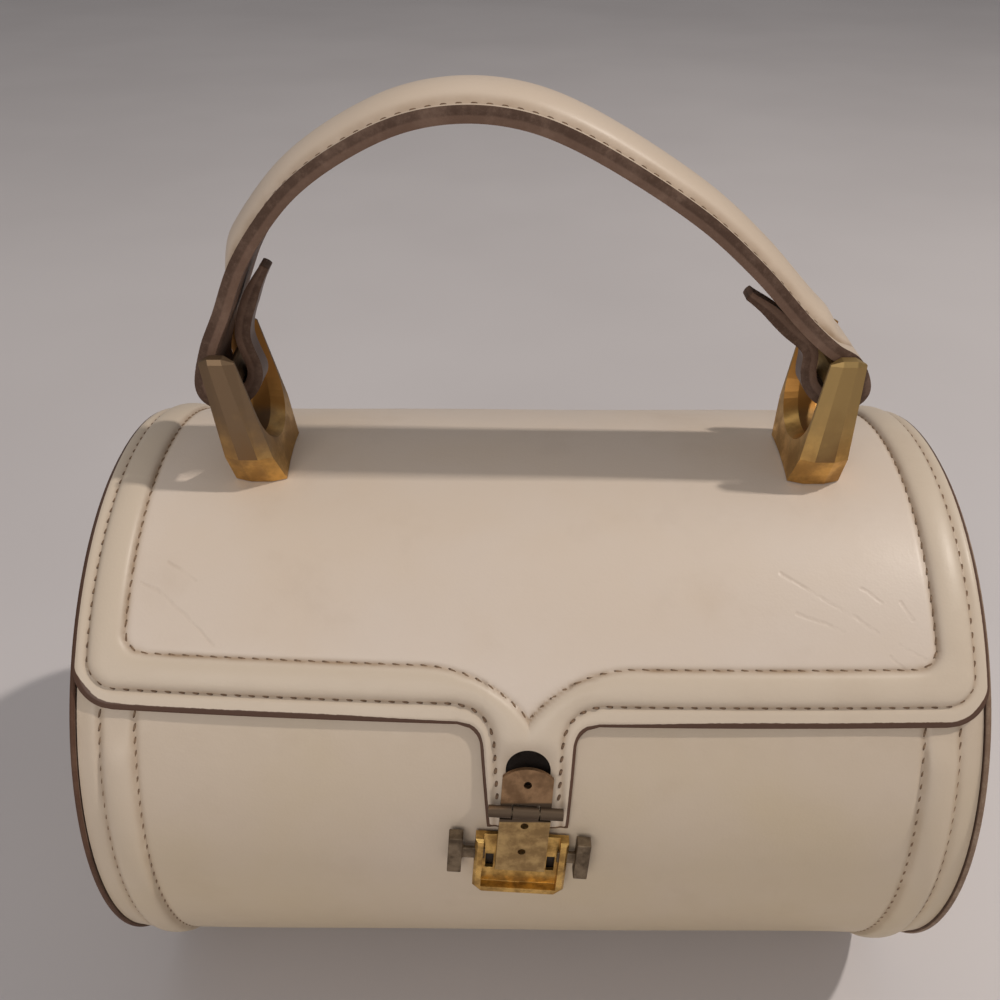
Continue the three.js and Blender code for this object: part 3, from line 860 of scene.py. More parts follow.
class Finishes:
    """The object's materials, each made once."""

    def __init__(self) -> None:
        """Makes every material."""
        self.floor = Tabletop("pale_floor", (0.62, 0.59, 0.60), (0.58, 0.55, 0.56)).make()
        self.make_leather()
        self.make_metal()

    def make_leather(self) -> None:
        """Makes the leathers, their cut edges and the threads."""
        cream, aged, grime_and_shade = (0.62, 0.535, 0.465), (0.60, 0.495, 0.395), (0.30, 0.20, 0.12)
        # The wall's cream is darker and yellower than the flap's; the darkening is painted shade of the
        # front.
        front, front_aged = (0.545, 0.455, 0.365), (0.52, 0.425, 0.295)
        # The border's darker cream is painted shade.
        border, strap, strap_aged = (0.555, 0.465, 0.365), (0.58, 0.485, 0.40), (0.55, 0.445, 0.345)
        # The body's near-black colour is painted shade under the clasp.
        brown, bare, dark = (0.088, 0.043, 0.026), (0.115, 0.066, 0.046), (0.018, 0.012, 0.009)
        self.flap = Leather("flap_leather", cream, aged, grime_and_shade, brown, 0.42, border, self.creases()).make()
        self.body = Leather("body_leather", front, front_aged, grime_and_shade, dark, 0.46).make()
        self.strap = Leather("strap_leather", strap, strap_aged, grime_and_shade, bare, 0.45).make()
        layers = ((0.080, 0.045, 0.030), (0.150, 0.090, 0.063))
        pale, suede, black = (0.19, 0.125, 0.085), (0.15, 0.095, 0.07), (0.012, 0.008, 0.006)
        self.edge = CutEdge("edge_paint", brown, brown, (0.15, 0.085, 0.055)).make()
        # The right end's edge paint is a paler copy: painted light where the light falls on that end.
        self.lit_edge_paint = CutEdge("lit_edge_paint", pale, pale, (0.42, 0.33, 0.25)).make()
        self.strap_edge = CutEdge("strap_edge", *layers, (0.23, 0.15, 0.11), 0.5).make()
        self.suede = CutEdge("suede_back", suede, suede, (0.24, 0.165, 0.12), 0.6).make()
        # The window's floor is near-black: painted shade of the hollow over the dark lining.
        self.window = CutEdge("window_shade", black, black, (0.03, 0.02, 0.014)).make()
        bold = ((0.21, 0.128, 0.074), (0.12, 0.07, 0.041), (0.06, 0.034, 0.02))
        fine = ((0.25, 0.165, 0.10), (0.16, 0.10, 0.06), (0.09, 0.055, 0.033))
        self.thread = Thread("waxed_thread", *bold).make()
        self.fine_thread = Thread("fine_thread", *fine).make()

    def make_metal(self) -> None:
        """Makes the rings' and the clasp's metals."""
        plated, tarnished = (0.78, 0.48, 0.15), (0.34, 0.19, 0.065)
        ring = {"tarnish": 0.6, "roughness": 0.28, "ragged": 0.018, "patches": 140.0}
        # The rings' brown on front- and back-facing faces is partly tarnish and partly painted dark
        # reflection.
        ring["patina"], ring["hollow"] = ((0.205, 0.115, 0.05), 0.95), ((0.42, 0.20, 0.05), -0.00645)
        left = {"worn": (0.215, 0.147, 0.09), "worn_band": (0.150, 0.172)}
        right = {"worn": (0.40, 0.275, 0.115), "worn_band": (0.152, 0.176)}
        self.gold = Metal("ring_gold", plated, tarnished, **ring, **left).make()
        self.gold_right = Metal("ring_gold_right", plated, tarnished, **ring, **right).make()
        self.tray = Metal("tray_gold", (0.76, 0.49, 0.16), (0.24, 0.135, 0.045), roughness=0.27).make()
        hinge = {"worn": (0.115, 0.083, 0.058), "ragged": 0.0004}
        lever, hasp = ((0.52, 0.36, 0.16), (0.26, 0.165, 0.075)), ((0.34, 0.21, 0.115), (0.17, 0.10, 0.055))
        self.lever = Metal("lever_bronze", *lever, **hinge, worn_band=(0.0881, 0.0886)).make()
        self.hasp = Metal("hasp_bronze", *hasp, **hinge, worn_band=(0.0926, 0.0921)).make()
        self.pewter = Metal("worn_pewter", (0.24, 0.185, 0.125), (0.08, 0.056, 0.038), roughness=0.42).make()

    @staticmethod
    def creases() -> tuple[tuple[float, float, float, float], ...]:
        """Crease lines of the flap: a bent one and a short one at the left, slanting ones at the right."""
        left = ((-86.2, 47.6, -81.6, 49.5), (-81.6, 49.5, -74.8, 54.6), (-74.8, 54.6, -67.4, 61.4))
        short = ((-79.8, 42.7, -73.8, 46.5), (76.8, 45.8, 80.2, 48.8), (85.0, 48.8, 87.4, 52.8))
        right = ((59.0, 42.2, 73.0, 51.2), (73.0, 51.2, 79.0, 56.1), (61.8, 50.7, 71.4, 55.4))
        corner = ((84.0, 58.3, 89.0, 61.6), (81.8, 61.0, 85.2, 63.7))
        return left + short + right + corner


# The bag's pieces


@dataclass(frozen=True)
class Barrel:
    """The round form that the leather is rolled on.

    Attributes:
        length: Over the two ends.
        body_radius: Outside of the body's wall.
        pad_rise: Rise of the padded bands.
        rest_half_width: Half width of the flat under the bands.
        gap: Clearance between pieces.
    """

    length: float = 205.0
    body_radius: float = 71.4
    pad_rise: float = 1.4
    rest_half_width: float = 20.0
    gap: float = 0.3

    @property
    def axis_height(self) -> float:
        """Height of the barrel's axis above the floor."""
        return math.sqrt((self.body_radius + self.pad_rise) ** 2 - self.rest_half_width**2)

    def point(self, x: Array, angle: Array, radius: Array, floor: float = 0.0) -> Array:
        """Points at an angle from the top towards the front, held above the floor.

        Args:
            x: Along the barrel.
            angle: Radians from the top.
            radius: From the axis.
            floor: Least height.

        Returns:
            Points of shape (..., 3).
        """
        x, angle, radius = np.broadcast_arrays(x, angle, radius)
        height = np.maximum(self.axis_height + radius * np.cos(angle), floor)
        return np.stack([x, -radius * np.sin(angle), height], axis=-1)

    def pad(self, distance: Array, width: float) -> Array:
        """Rise of a padded band, a half ellipse: by the distance from the nearer stitch row and its width."""
        t = np.clip(2.0 * distance / width, 0.0, 1.0)
        return self.pad_rise * np.sqrt(1.0 - (1.0 - t) ** 2)


def furrow(distance: Array, depth: float = 0.35, reach: float = 0.8) -> Array:
    """Depth of the dip that a stitch row pulls into leather, a bell curve of the distance."""
    return depth * bell(distance, reach)


@dataclass
class LeatherWork:
    """Leather that is shaped on the barrel and sewn.

    Attributes:
        barrel: The form.
        stitch: Distance between needle holes.
        bulge: How far a cut edge stands out at its middle.
    """

    barrel: Barrel
    stitch: float = 3.1
    bulge: float = 0.3

    def dress(self, look: Finishes) -> list[Piece]:
        """Makes the leather and its thread.

        Args:
            look: The finishes.

        Returns:
            The pieces.
        """
        raise NotImplementedError


@dataclass
class Body(LeatherWork):
    """The rolled wall with its two padded bands, and the round ends.

    Attributes:
        wall: Leather thickness.
        mouth_deg: Angles of the mouth's front and back edges.
        band: Stitch rows of a band, as distances from the middle.
        band_front_deg: Where a band rises below the flap's front edge.
        band_back_deg: Where it sinks below the flap's back edge.
        end_thickness: Thickness of the round ends.
        clasp: Place and half sizes of the painted shade under the clasp: x, degrees, across and along.
        sunk: Least height of a stitch, inside the leather that rests on the floor.
        fullness: How much fuller the ends are in the middle.
    """

    wall: float = 2.2
    mouth_deg: Pair = (44.0, 298.0)
    band: Pair = (87.8, 95.6)
    band_front_deg: Pair = (60.0, 67.0)
    band_back_deg: Pair = (270.0, 279.0)
    end_thickness: float = 1.4
    clasp: tuple[float, float, float, float] = (-1.7, 87.4, 8.6, 6.4)
    sunk: float = 0.6
    fullness: float = 0.9
    bulge: float = 0.25

    def lift(self, x: Array, angle: Array) -> Array:
        """Height of the leather over the barrel.

        Args:
            x: Along the barrel.
            angle: Radians from the top.

        Returns:
            The band's pad, less the furrows of its rows and the roll at the end.
        """
        aside = np.abs(x)
        inner, outer = self.band
        deg = np.degrees(angle)
        shown = smooth(deg, *self.band_front_deg) * (1 - smooth(deg, *self.band_back_deg))
        pad = self.barrel.pad(np.minimum(aside - inner, outer - aside), outer - inner) * shown
        rolled = 0.5 * smooth(aside, outer + 1.5, self.half)
        return pad - furrow(aside - inner) - furrow(aside - outer) - rolled

    @property
    def half(self) -> float:
        """Half length of the wall."""
        return self.barrel.length / 2 - self.end_thickness - self.barrel.gap

    def shell(self) -> Surface:
        """The wall: columns along the barrel and rows round it, rolled about the axis."""
        inner, outer = self.band
        right = np.concatenate(
            [
                steps(0, 12, 1.5),
                steps(14, inner - 2, 4.0),
                steps(inner - 1.5, outer + 1.5, 0.4),
                steps(outer + 2.0, self.half, 0.8),
            ]
        )
        x = mirrored(right)[None, :]
        angle = np.radians(steps(*self.mouth_deg, 2.0))[:, None]
        sway = 0.18 * np.sin(3.1 * angle + 0.02 * x) * np.sin(0.045 * x + 1.3)
        sway = sway * smooth(inner - np.abs(x), 0.0, 12.0)
        radius = self.barrel.body_radius + self.lift(x, angle)
        outside = self.barrel.point(x, angle, radius + sway)
        inside = self.barrel.point(x, angle, self.barrel.body_radius - self.wall + 0 * x, self.wall)
        aside = np.abs(x)
        near = np.minimum(np.abs(aside - inner), np.abs(aside - outer))
        # Painted shade: a near-black patch on the wall under the clasp, seen through its slots.
        clasp_x, clasp_deg, half_x, half_y = self.clasp
        up = (angle - math.radians(clasp_deg)) * self.barrel.body_radius
        paint_and_shade = np.clip(0.5 - rounded_box(x - clasp_x, up, half_x, half_y, 2.0) / 2.0, 0.0, 1.0)
        # Painted shade: the wall is darkened just below the flap's front edge.
        under_flap = 0.5 * bell(np.degrees(angle) - 62.0, 5.0)
        soil_and_shade = 0.5 * bell(near, 0.8) + 0.2 * under_flap
        soil_and_shade = soil_and_shade + 0.3 * smooth(aside, self.half - 1.2, self.half)
        values = {"soil_and_shade": np.broadcast_to(soil_and_shade, outside.shape[:2]), "paint_and_shade": paint_and_shade}
        return slab(outside, inside, self.bulge, values)

    def thread(self) -> Surface:
        """Stitches along the four band rows."""
        low, high = np.radians(self.mouth_deg)
        angle = np.arange(low + 0.1, high - 0.1, self.stitch / self.barrel.body_radius)
        rows = []
        for x in (-self.band[1], -self.band[0], self.band[0], self.band[1]):
            at = self.barrel.point(x, angle, self.barrel.body_radius + self.lift(x, angle), self.sunk)
            away = self.barrel.point(x, angle, self.barrel.body_radius + 5.0, -100.0)
            out = unit(away - self.barrel.point(x, angle, self.barrel.body_radius, -100.0))
            rows.append(thread_on(at, out, Sewing.FINE))
        return merged(rows)

    def end(self, side: Side) -> Surface:
        """A round end: a square grid drawn to a disc, a little fuller in the middle.

        Args:
            side: Which end.

        Returns:
            The mesh.
        """
        u = np.linspace(-1.0, 1.0, 61)
        a, b = np.meshgrid(u, u)
        across, up = a * np.sqrt(1 - b * b / 2), b * np.sqrt(1 - a * a / 2)
        reach = np.hypot(across, up)
        radius = self.barrel.body_radius
        height = np.maximum(self.barrel.axis_height + radius * up, 0.0)
        full = self.fullness * (1 - reach**2)
        x_out = side.value * (self.barrel.length / 2 + full - self.bulge)
        x_in = side.value * (self.barrel.length / 2 - self.end_thickness + 0 * full)
        y = radius * across
        outside = np.stack([x_out, y, height], axis=-1)
        inside = np.stack([x_in, y, height], axis=-1)
        return slab(outside, inside, self.bulge, {"soil_and_shade": 0.6 * smooth(reach, 0.96, 1.0)})

    def dress(self, look: Finishes) -> list[Piece]:
        """Makes the wall, its thread and the two ends.

        Args:
            look: The finishes.

        Returns:
            The pieces.
        """
        wall = self.shell().make("body_leather_shell", [look.body, look.edge, look.suede])
        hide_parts("body_shell")
        sewing = self.thread().make("body_stitching", [look.thread, look.fine_thread])
        ends = []
        # The right end takes the paler edge paint, painted light.
        sides = ((Side.LEFT, "end_panel_left", look.edge), (Side.RIGHT, "end_panel_right", look.lit_edge_paint))
        for side, node, edge in sides:
            panel = self.end(side).make(f"{node}_leather", [look.body, edge, look.suede])
            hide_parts(node)
            ends.append(panel)
        return [wall, sewing, *ends]


@dataclass
class Flap(LeatherWork):
    """The lid: flat leather with a padded border and a tongue, bowed, skewed and rolled on the barrel.

    Flat places are x across the bag and s along the leather, from the top of the barrel to the front.

    Attributes:
        half: Half width.
        wall: Leather thickness.
        front: The front edge's s.
        back: The back edge's s.
        margin: From the edge to the outer stitch row at the sides and the back.
        front_margin: The same along the front.
        pad_width: Between the stitch rows.
        corner: Radius of the edge's corners.
        row_corners: Corner radii of the inner and the outer stitch row.
        bow: How much lower the front edge is at its middle.
        skew: How much lower its right end is.
        v_spread: Half width of the dip in the inner row.
        v_drop: Depth of that dip.
        tongue_length: Of the tongue below the front edge.
        tongue_halves: Half widths at its top and its end.
        tongue_fillet: Radius where it meets the front edge.
        tongue_skive: How much thinner it is at its end.
        tongue_row: Half distance between the stitch rows on it.
        row_fillet: Radius where the outer row turns onto the tongue.
        window: Radius, distance below the edge and depth of the round window.
        paint_widths: Of the edge paint at the sides and the front, more at the left corner, and the tongue.
        root: How far the tongue's strips reach back under the front edge.
        sewn_end: Where the tongue's rows end below the front edge, and how far they draw in there.
    """

    half: float = 101.2
    wall: float = 1.6
    front: float = 74.4
    back: float = -99.5
    margin: float = 3.1
    front_margin: float = 4.5
    pad_width: float = 8.0
    corner: float = 9.0
    row_corners: Pair = (4.5, 6.5)
    bow: float = 2.0
    skew: float = 1.6
    v_spread: float = 24.0
    v_drop: float = 11.5
    tongue_length: float = 25.2
    tongue_halves: Pair = (10.7, 8.9)
    tongue_fillet: float = 5.0
    tongue_skive: float = 0.4
    tongue_row: float = 7.5
    row_fillet: float = 9.0
    window: tuple[float, float, float] = (5.0, 10.3, 0.9)
    paint_widths: tuple[float, float, float, float] = (0.45, 1.2, 0.8, 0.45)
    root: float = 20.0
    sewn_end: Pair = (18.4, 0.7)

    @property
    def radius(self) -> float:
        """Outside radius of the leather between its pads."""
        return self.barrel.body_radius + self.barrel.gap + self.wall

    @property
    def inner_front(self) -> float:
        """The inner row's s along the front."""
        return self.front - self.front_margin - self.pad_width

    @property
    def inner_half(self) -> float:
        """Half width between the inner rows at the sides."""
        return self.half - self.margin - self.pad_width

    def place(self, x: Array, s: Array, lift: Array) -> Array:
        """Rolls flat places onto the barrel.

        The front is moved down by the bow, a parabola, and the skew, a slope, from the top on. The angle
        is s over the radius.

        Args:
            x: Across.
            s: Along.
            lift: Height over the flap's outside radius.

        Returns:
            Points of shape (..., 3).
        """
        share = x / self.half
        shift = (self.bow * (1 - share**2) + self.skew * share) * smooth(s, 0.0, self.inner_front)
        return self.barrel.point(x, (s + shift) / self.radius, self.radius + lift)

    @property
    def dip_radius(self) -> float:
        """Radius of the dip's two arcs."""
        return (self.v_spread**2 + self.v_drop**2) / (2 * self.v_drop)

    def dip(self, x: Array) -> Array:
        """The inner row's s along the front: a straight line that turns down to a point on two arcs."""
        reach = np.maximum(self.v_spread - np.abs(x), 0.0)
        return self.inner_front + self.dip_radius - np.sqrt(self.dip_radius**2 - reach**2)

    def taper(self, below: Array) -> Array:
        """Half width of the tongue without its flare, by the distance below the front edge."""
        top, end = self.tongue_halves
        return top + (end - top) * np.maximum(below, 0.0) / self.tongue_length

    def tongue_half(self, s: Array) -> Array:
        """Half width of the tongue: a taper, wider by a quarter circle at the front edge.

        Args:
            s: Places along it, from the top.

        Returns:
            Half widths.
        """
        below = np.maximum(s - self.front, 0.0)
        flare = np.maximum(self.tongue_fillet - below, 0.0)
        return self.taper(below) + self.tongue_fillet - np.sqrt(self.tongue_fillet**2 - flare**2)

    def row_distances(self, x: Array, s: Array) -> tuple[Array, Array]:
        """Signed distances to the inner and the outer stitch row, negative inside each.

        The inner one is a rounded box joined with the dip; the outer one is a rounded box joined with the
        strip between the tongue's rows.

        Args:
            x: Places across the flap.
            s: Places along it, from the top.

        Returns:
            The two distances.
        """
        low, high = self.back + self.margin, self.front - self.front_margin
        middle, reach = (high + low) / 2, (high - low) / 2
        box = rounded_box(x, s - middle, self.inner_half, reach - self.pad_width, self.row_corners[0])
        slope = np.maximum(self.v_spread - np.abs(x), 0.0) / self.dip_radius
        pointed = np.minimum(box, (s - self.dip(x)) * np.sqrt(1 - slope**2))
        inner = np.where((np.abs(x) <= self.v_spread) & (s > 0.0), pointed, box)
        frame = rounded_box(x, s - middle, self.half - self.margin, reach, self.row_corners[1])
        strip = np.maximum(np.abs(x) - self.tongue_row, self.front - self.root - s)
        return inner, joined_distance(frame, strip, self.row_fillet)

    def lift(self, x: Array, s: Array) -> Array:
        """Height of the leather: the pad between the rows, less their furrows and the edge's roll.

        Args:
            x: Places across the flap.
            s: Places along it, from the top.

        Returns:
            Heights.
        """
        inner, outer = self.row_distances(x, s)
        fade = 1 - smooth(s, self.front + 2.5, self.front + self.window[1] - 1.0)
        pad = self.barrel.pad(np.minimum(inner, -outer), self.pad_width) * fade
        sway = 0.16 * np.sin(0.06 * s + 0.03 * x) * np.sin(0.05 * x + 0.7) * smooth(-inner, 0.0, 12.0)
        thin = self.tongue_skive * smooth(s, self.front, self.front + self.tongue_length)
        roll = 0.45 * (1 - smooth(self.rim(x, s), 0.0, 1.1))
        return pad - furrow(inner) - furrow(outer) + sway - thin - roll

    def rim(self, x: Array, s: Array) -> Array:
        """Distance in from the cut edge: a rounded box joined with the tapered tongue.

        Args:
            x: Places across the flap.
            s: Places along it, from the top.

        Returns:
            Distances, 0 outside.
        """
        middle, reach = (self.front + self.back) / 2, (self.front - self.back) / 2
        frame = rounded_box(x, s - middle, self.half, reach, self.corner)
        below = s - self.front
        strip = np.maximum(np.abs(x) - self.taper(below), below - self.tongue_length)
        strip = np.maximum(strip, -self.root - below)
        return np.maximum(-joined_distance(frame, strip, self.tongue_fillet), 0.0)

    def paint_and_shade(self, x: Array, s: Array) -> Array:
        """Edge paint, as 1 at the cut edge and a half where the paint stops.

        The painted strip is widest along the front, most of all at its left corner, and narrow by the tongue.

        Args:
            x: Places across the flap.
            s: Places along it, from the top.

        Returns:
            Paint, from 0 to 1.
        """
        low = smooth(s, self.front - 9.0, self.front - 4.0)
        side, front, corner, tongue = self.paint_widths
        full = 0.45 + 0.55 * smooth(np.abs(x), 14.0, 48.0)
        width = side + (front * full - side) * low + corner * low * bell(x + self.half, 8.0)
        width = width + (tongue - width) * smooth(s, self.front + 0.5, self.front + 4.0)
        return np.clip(1.0 - self.rim(x, s) / (2.0 * width), 0.0, 1.0)

    def edge(self, x: Array) -> Array:
        """The front outline's s: the front edge, and along the tongue the inverse of its half width."""
        s = np.linspace(self.front, self.front + self.tongue_length, 800)
        return np.interp(np.abs(x), self.tongue_half(s)[::-1], s[::-1], right=self.front)

    def flat_grid(self) -> tuple[Array, Array]:
        """Flat places of the sheet's grid.

        Columns close up at the tongue's sides and over the pads. Rows are straight down to the border, then
        share out the way to the front outline. At the corners the outer columns draw in by a quarter circle.

        Returns:
            Grids of x and s.
        """
        sides = self.tongue_half(steps(self.front + self.tongue_length, self.front, 0.8))
        right = np.concatenate(
            [
                steps(0, sides[0] - 0.4, 0.45),
                sides,
                steps(sides[-1] + 0.8, 26.0, 1.1),
                steps(28.5, self.inner_half - 2.5, 3.0),
                steps(self.inner_half - 1.8, self.half, 0.45),
            ]
        )
        x = mirrored(right)
        brim = self.front - 18.0
        upper = np.concatenate([steps(self.back, self.back + 14.0, 0.6), steps(self.back + 15.5, brim, 2.0)])
        share = np.linspace(0.0, 1.0, 58)[1:, None]
        lower = brim + share * (self.edge(x)[None, :] - brim)
        s = np.concatenate([np.repeat(upper[:, None], len(x), axis=1), lower])
        return self.drawn_in(np.broadcast_to(x, s.shape), s), s

    def drawn_in(self, x: Array, s: Array) -> Array:
        """Columns past the inner row, drawn in at the rounded corners.

        Args:
            x: Places across the flap.
            s: Places along it, from the top.

        Returns:
            The columns' new places across.
        """
        short = np.maximum(self.corner - np.minimum(s - self.back, np.maximum(self.front - s, 0.0)), 0.0)
        half = self.half - self.corner + np.sqrt(np.maximum(self.corner**2 - short**2, 0.0))
        past = np.maximum(np.abs(x) - self.inner_half, 0.0)
        kept = np.abs(x) - past
        return np.sign(x) * (kept + past * (half - self.inner_half) / (self.half - self.inner_half))

    def sheet(self) -> Surface:
        """The whole sheet, with its window sunk into the tongue.

        Points near the window's rim are moved onto it, so that its wall is clean.

        Returns:
            The closed sheet.
        """
        x, s = self.flat_grid()
        size, below, depth = self.window
        across, down = x, s - (self.front + below)
        away = np.hypot(across, down)
        snapped = np.where((away > size - 0.45) & (away < size + 0.5), size, away)
        snapped = np.where((away > size - 1.1) & (away <= size - 0.45), size - 0.25, snapped)
        ratio = snapped / np.maximum(away, 1e-6)
        x, s = across * ratio, down * ratio + self.front + below
        sunk = depth * (snapped < size - 0.1)
        lift = self.lift(x, s)
        outside = self.place(x, s, lift - sunk)
        inside = self.place(x, s, np.full_like(x, -self.wall))
        inner, outer = self.row_distances(x, s)
        soil_and_shade = 0.9 * bell(inner, 0.5) + 0.6 * bell(outer, 0.6) + 0.3 * bell(away - size, 1.5)
        flat = np.stack([x, s, 0 * s], axis=-1)
        # Painted shade: the border outside the inner row takes the darker colour.
        border = 0.85 * smooth(inner, -2.0, 2.0)
        values = {"soil_and_shade": np.clip(soil_and_shade, 0.0, 1.0), "paint_and_shade": self.paint_and_shade(x, s), "border": border}
        made = slab(outside, inside, self.bulge, {**values, "flat": flat})
        count = (x.shape[0] - 1) * (x.shape[1] - 1)
        in_hole = (snapped < size + 0.01).ravel()[made.quads[:count]].all(axis=1)
        # The window's floor takes the near-black painted shade.
        made.slots[:count][in_hole] = Face.WINDOW
        return made

    def bend(self, inset: Pair, back_inset: float, radius: float) -> Array:
        """A row's two corners at the right and its end in the middle of the back, as a flat path.

        Args:
            inset: Distances of the row from the side and the front edge.
            back_inset: Its distance from the back edge.
            radius: Of its corners.

        Returns:
            Rows of x and s.
        """
        side, front = self.half - inset[0] - radius, self.front - inset[1] - radius
        back = self.back + back_inset
        corners = [arc((side, front), radius, 90, 0), arc((side, back + radius), radius, 0, -90)]
        return np.concatenate([*corners, [[0.0, back]]])

    def rows(self) -> list[Array]:
        """The stitch rows as flat paths: the inner row whole, and the outer one from the tongue on."""
        deep, front_deep = self.margin + self.pad_width, self.front_margin + self.pad_width
        dip_x = np.linspace(0.0, self.v_spread, 30)
        dip = np.stack([dip_x, self.dip(dip_x)], axis=1)
        inner = np.concatenate([dip, self.bend((deep, front_deep), deep, self.row_corners[0])])
        low, drawn = self.sewn_end
        fillet, front = self.row_fillet, self.front - self.front_margin
        turn = arc((self.tongue_row + fillet, front + fillet), fillet, 180, 270)
        bend = self.bend((self.margin, self.front_margin), self.margin, self.row_corners[1])
        outer = np.concatenate([[[self.tongue_row - drawn, self.front + low]], turn, bend])
        flip = np.array([-1.0, 1.0])
        return [inner, inner * flip, outer, outer * flip]

    def thread(self) -> Surface:
        """Stitches along every row."""
        made = []
        kinds = (Sewing.FINE, Sewing.FINE, Sewing.BOLD, Sewing.BOLD)
        for path, kind in zip(self.rows(), kinds):
            holes = resampled(path, self.stitch)
            x, s = holes[:, 0], holes[:, 1]
            height = self.lift(x, s)
            at = self.place(x, s, height)
            made.append(thread_on(at, unit(self.place(x, s, height + 1.0) - at), kind))
        return merged(made)

    def dress(self, look: Finishes) -> list[Piece]:
        """Makes the flap and its thread.

        Args:
            look: The finishes.

        Returns:
            The pieces.
        """
        lid = self.sheet().make("flap_leather_sheet", [look.flap, look.edge, look.suede, look.window])
        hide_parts("flap")
        sewing = self.thread().make("flap_stitching", [look.thread, look.fine_thread])
        return [lid, sewing]


@dataclass
class Handle(LeatherWork):
    """The strap: a padded arch whose ends wrap round the rings and fold back as tabs.

    Places are x and the height above the barrel's axis.

    Attributes:
        plane_y: The plane of its middle line.
        width: Of the strap.
        thickness: Of the strap at its edges.
        crown: Rise of the dome over its edges.
        row: Half distance between the stitch rows.
        loop_radius: Radius of a wrap's middle line.
        loops: Centres of the left and the right wrap.
        tabs: The tabs' points, in the order of the path.
        arch: The arch's points, left to right.
        bare: Length without a dome at the left and the right end.
        eye: Length over which the dome comes to its end.
        brown: Length at each end without the cream cover.
        tip: Width and thickness of a tab at its tip, and the length over which it gets thicker.
        widen: Lengths from the tip between which it grows to the strap's width.
        sewn: Length of the dome's end without stitches.
    """

    plane_y: float = -6.45
    width: float = 21.0
    thickness: float = 3.6
    crown: float = 3.3
    row: float = 8.0
    loop_radius: float = 5.2
    loops: tuple[Pair, ...] = ((-69.2, 96.6), (70.3, 96.6))
    tabs: tuple[tuple[Pair, ...], ...] = (
        ((-59.0, 121.9), (-62.9, 115.1), (-65.9, 105.7)),
        ((64.6, 102.3), (58.9, 107.5), (54.2, 111.8), (49.2, 115.4)),
    )
    arch: tuple[Pair, ...] = (
        (-72.1, 105.2),
        (-68.0, 113.8),
        (-63.3, 124.2),
        (-57.3, 133.0),
        (-49.7, 141.3),
        (-38.8, 148.8),
        (-26.4, 154.3),
        (-14.5, 156.2),
        (-2.6, 155.1),
        (9.4, 150.8),
        (34.8, 135.7),
        (48.2, 124.5),
        (61.5, 110.9),
        (67.6, 105.7),
        (72.7, 102.5),
    )
    bare: Pair = (65.0, 48.0)
    eye: float = 13.0
    brown: float = 44.0
    tip: tuple[float, float, float] = (4.5, 2.2, 10.0)
    widen: Pair = (24.0, 42.0)
    sewn: float = 13.0

    def path(self, count: int) -> Array:
        """The strap's middle line as points in space, evenly spaced.

        Args:
            count: How many.

        Returns:
            Rows of x, y and z.
        """
        wraps = [arc(centre, self.loop_radius, 0, -180, 7) for centre in self.loops]
        knots = np.concatenate([self.tabs[0], wraps[0], self.arch, wraps[1], self.tabs[1]])
        x, up = spline(knots, count).T
        return np.stack([x, np.full(count, self.plane_y), self.barrel.axis_height + up], axis=1)

    def frame(self, count: int) -> tuple[Array, Array, Array, Array]:
        """Evenly spaced places on the strap.

        Args:
            count: Number of places.

        Returns:
            The middle line, the outward directions, the distance from the nearer end and past the bare part.
        """
        line = self.path(count)
        along = unit(np.gradient(line, axis=0))
        out = np.stack([-along[:, 2], np.zeros(count), along[:, 0]], axis=1)
        length = float(np.linalg.norm(np.diff(line, axis=0), axis=1).sum())
        run = np.linspace(0.0, length, count)
        past = np.minimum(run - self.bare[0], run[-1] - run - self.bare[1])
        return line, out, np.minimum(run, run[-1] - run), past

    def row_half(self, past: Array) -> Array:
        """Half distance between the rows: it closes as a quarter ellipse at the dome's ends."""
        t = np.clip(past / self.eye, 0.0, 1.0)
        return self.row * np.sqrt(1.0 - (1.0 - t) ** 2)

    def rise(self, y: Array, past: Array) -> Array:
        """Height of the dome at a distance across the strap: a flat-topped arch between the rows.

        Args:
            y: Distance across from the middle.
            past: Distance past the bare part.

        Returns:
            Heights.
        """
        half = np.maximum(self.row_half(past), 1e-3)
        inside = np.clip(1.0 - np.abs(y / half) ** 2.2, 0.0, 1.0) ** 0.62
        grown = smooth(past, 0.0, self.eye)
        return self.crown * grown * inside - furrow(np.abs(y) - half, 0.3, 0.7) * (past > 0)

    def strap(self) -> Surface:
        """The strap: rows along its path and columns across it, narrower and thinner at the tabs' tips."""
        line, out, from_end, past = self.frame(440)
        tip_width, tip_thickness, run = self.tip
        full = smooth(from_end, 0.0, run)[:, None]
        flat = mirrored(np.concatenate([steps(0, 6.5, 0.65), steps(6.9, self.width / 2, 0.3)]))[None, :]
        wide = smooth(from_end, *self.widen)[:, None]
        y = flat * (tip_width + (self.width - tip_width) * wide) / self.width
        half = (tip_thickness + (self.thickness - tip_thickness) * full) / 2
        across = np.stack([0 * y, y, 0 * y], axis=-1)
        height = half + self.rise(y, past[:, None])
        outside = line[:, None, :] + across + out[:, None, :] * height[..., None]
        inside = line[:, None, :] + across - out[:, None, :] * half[..., None]
        near = np.abs(np.abs(y) - self.row_half(past)[:, None])
        soil_and_shade = 0.5 * bell(near, 0.8) + 0.3 * smooth(np.abs(y), self.width / 2 - 1.2, self.width / 2)
        soil_and_shade = soil_and_shade + 0.25 * (1 - smooth(from_end, 40.0, 60.0))[:, None]
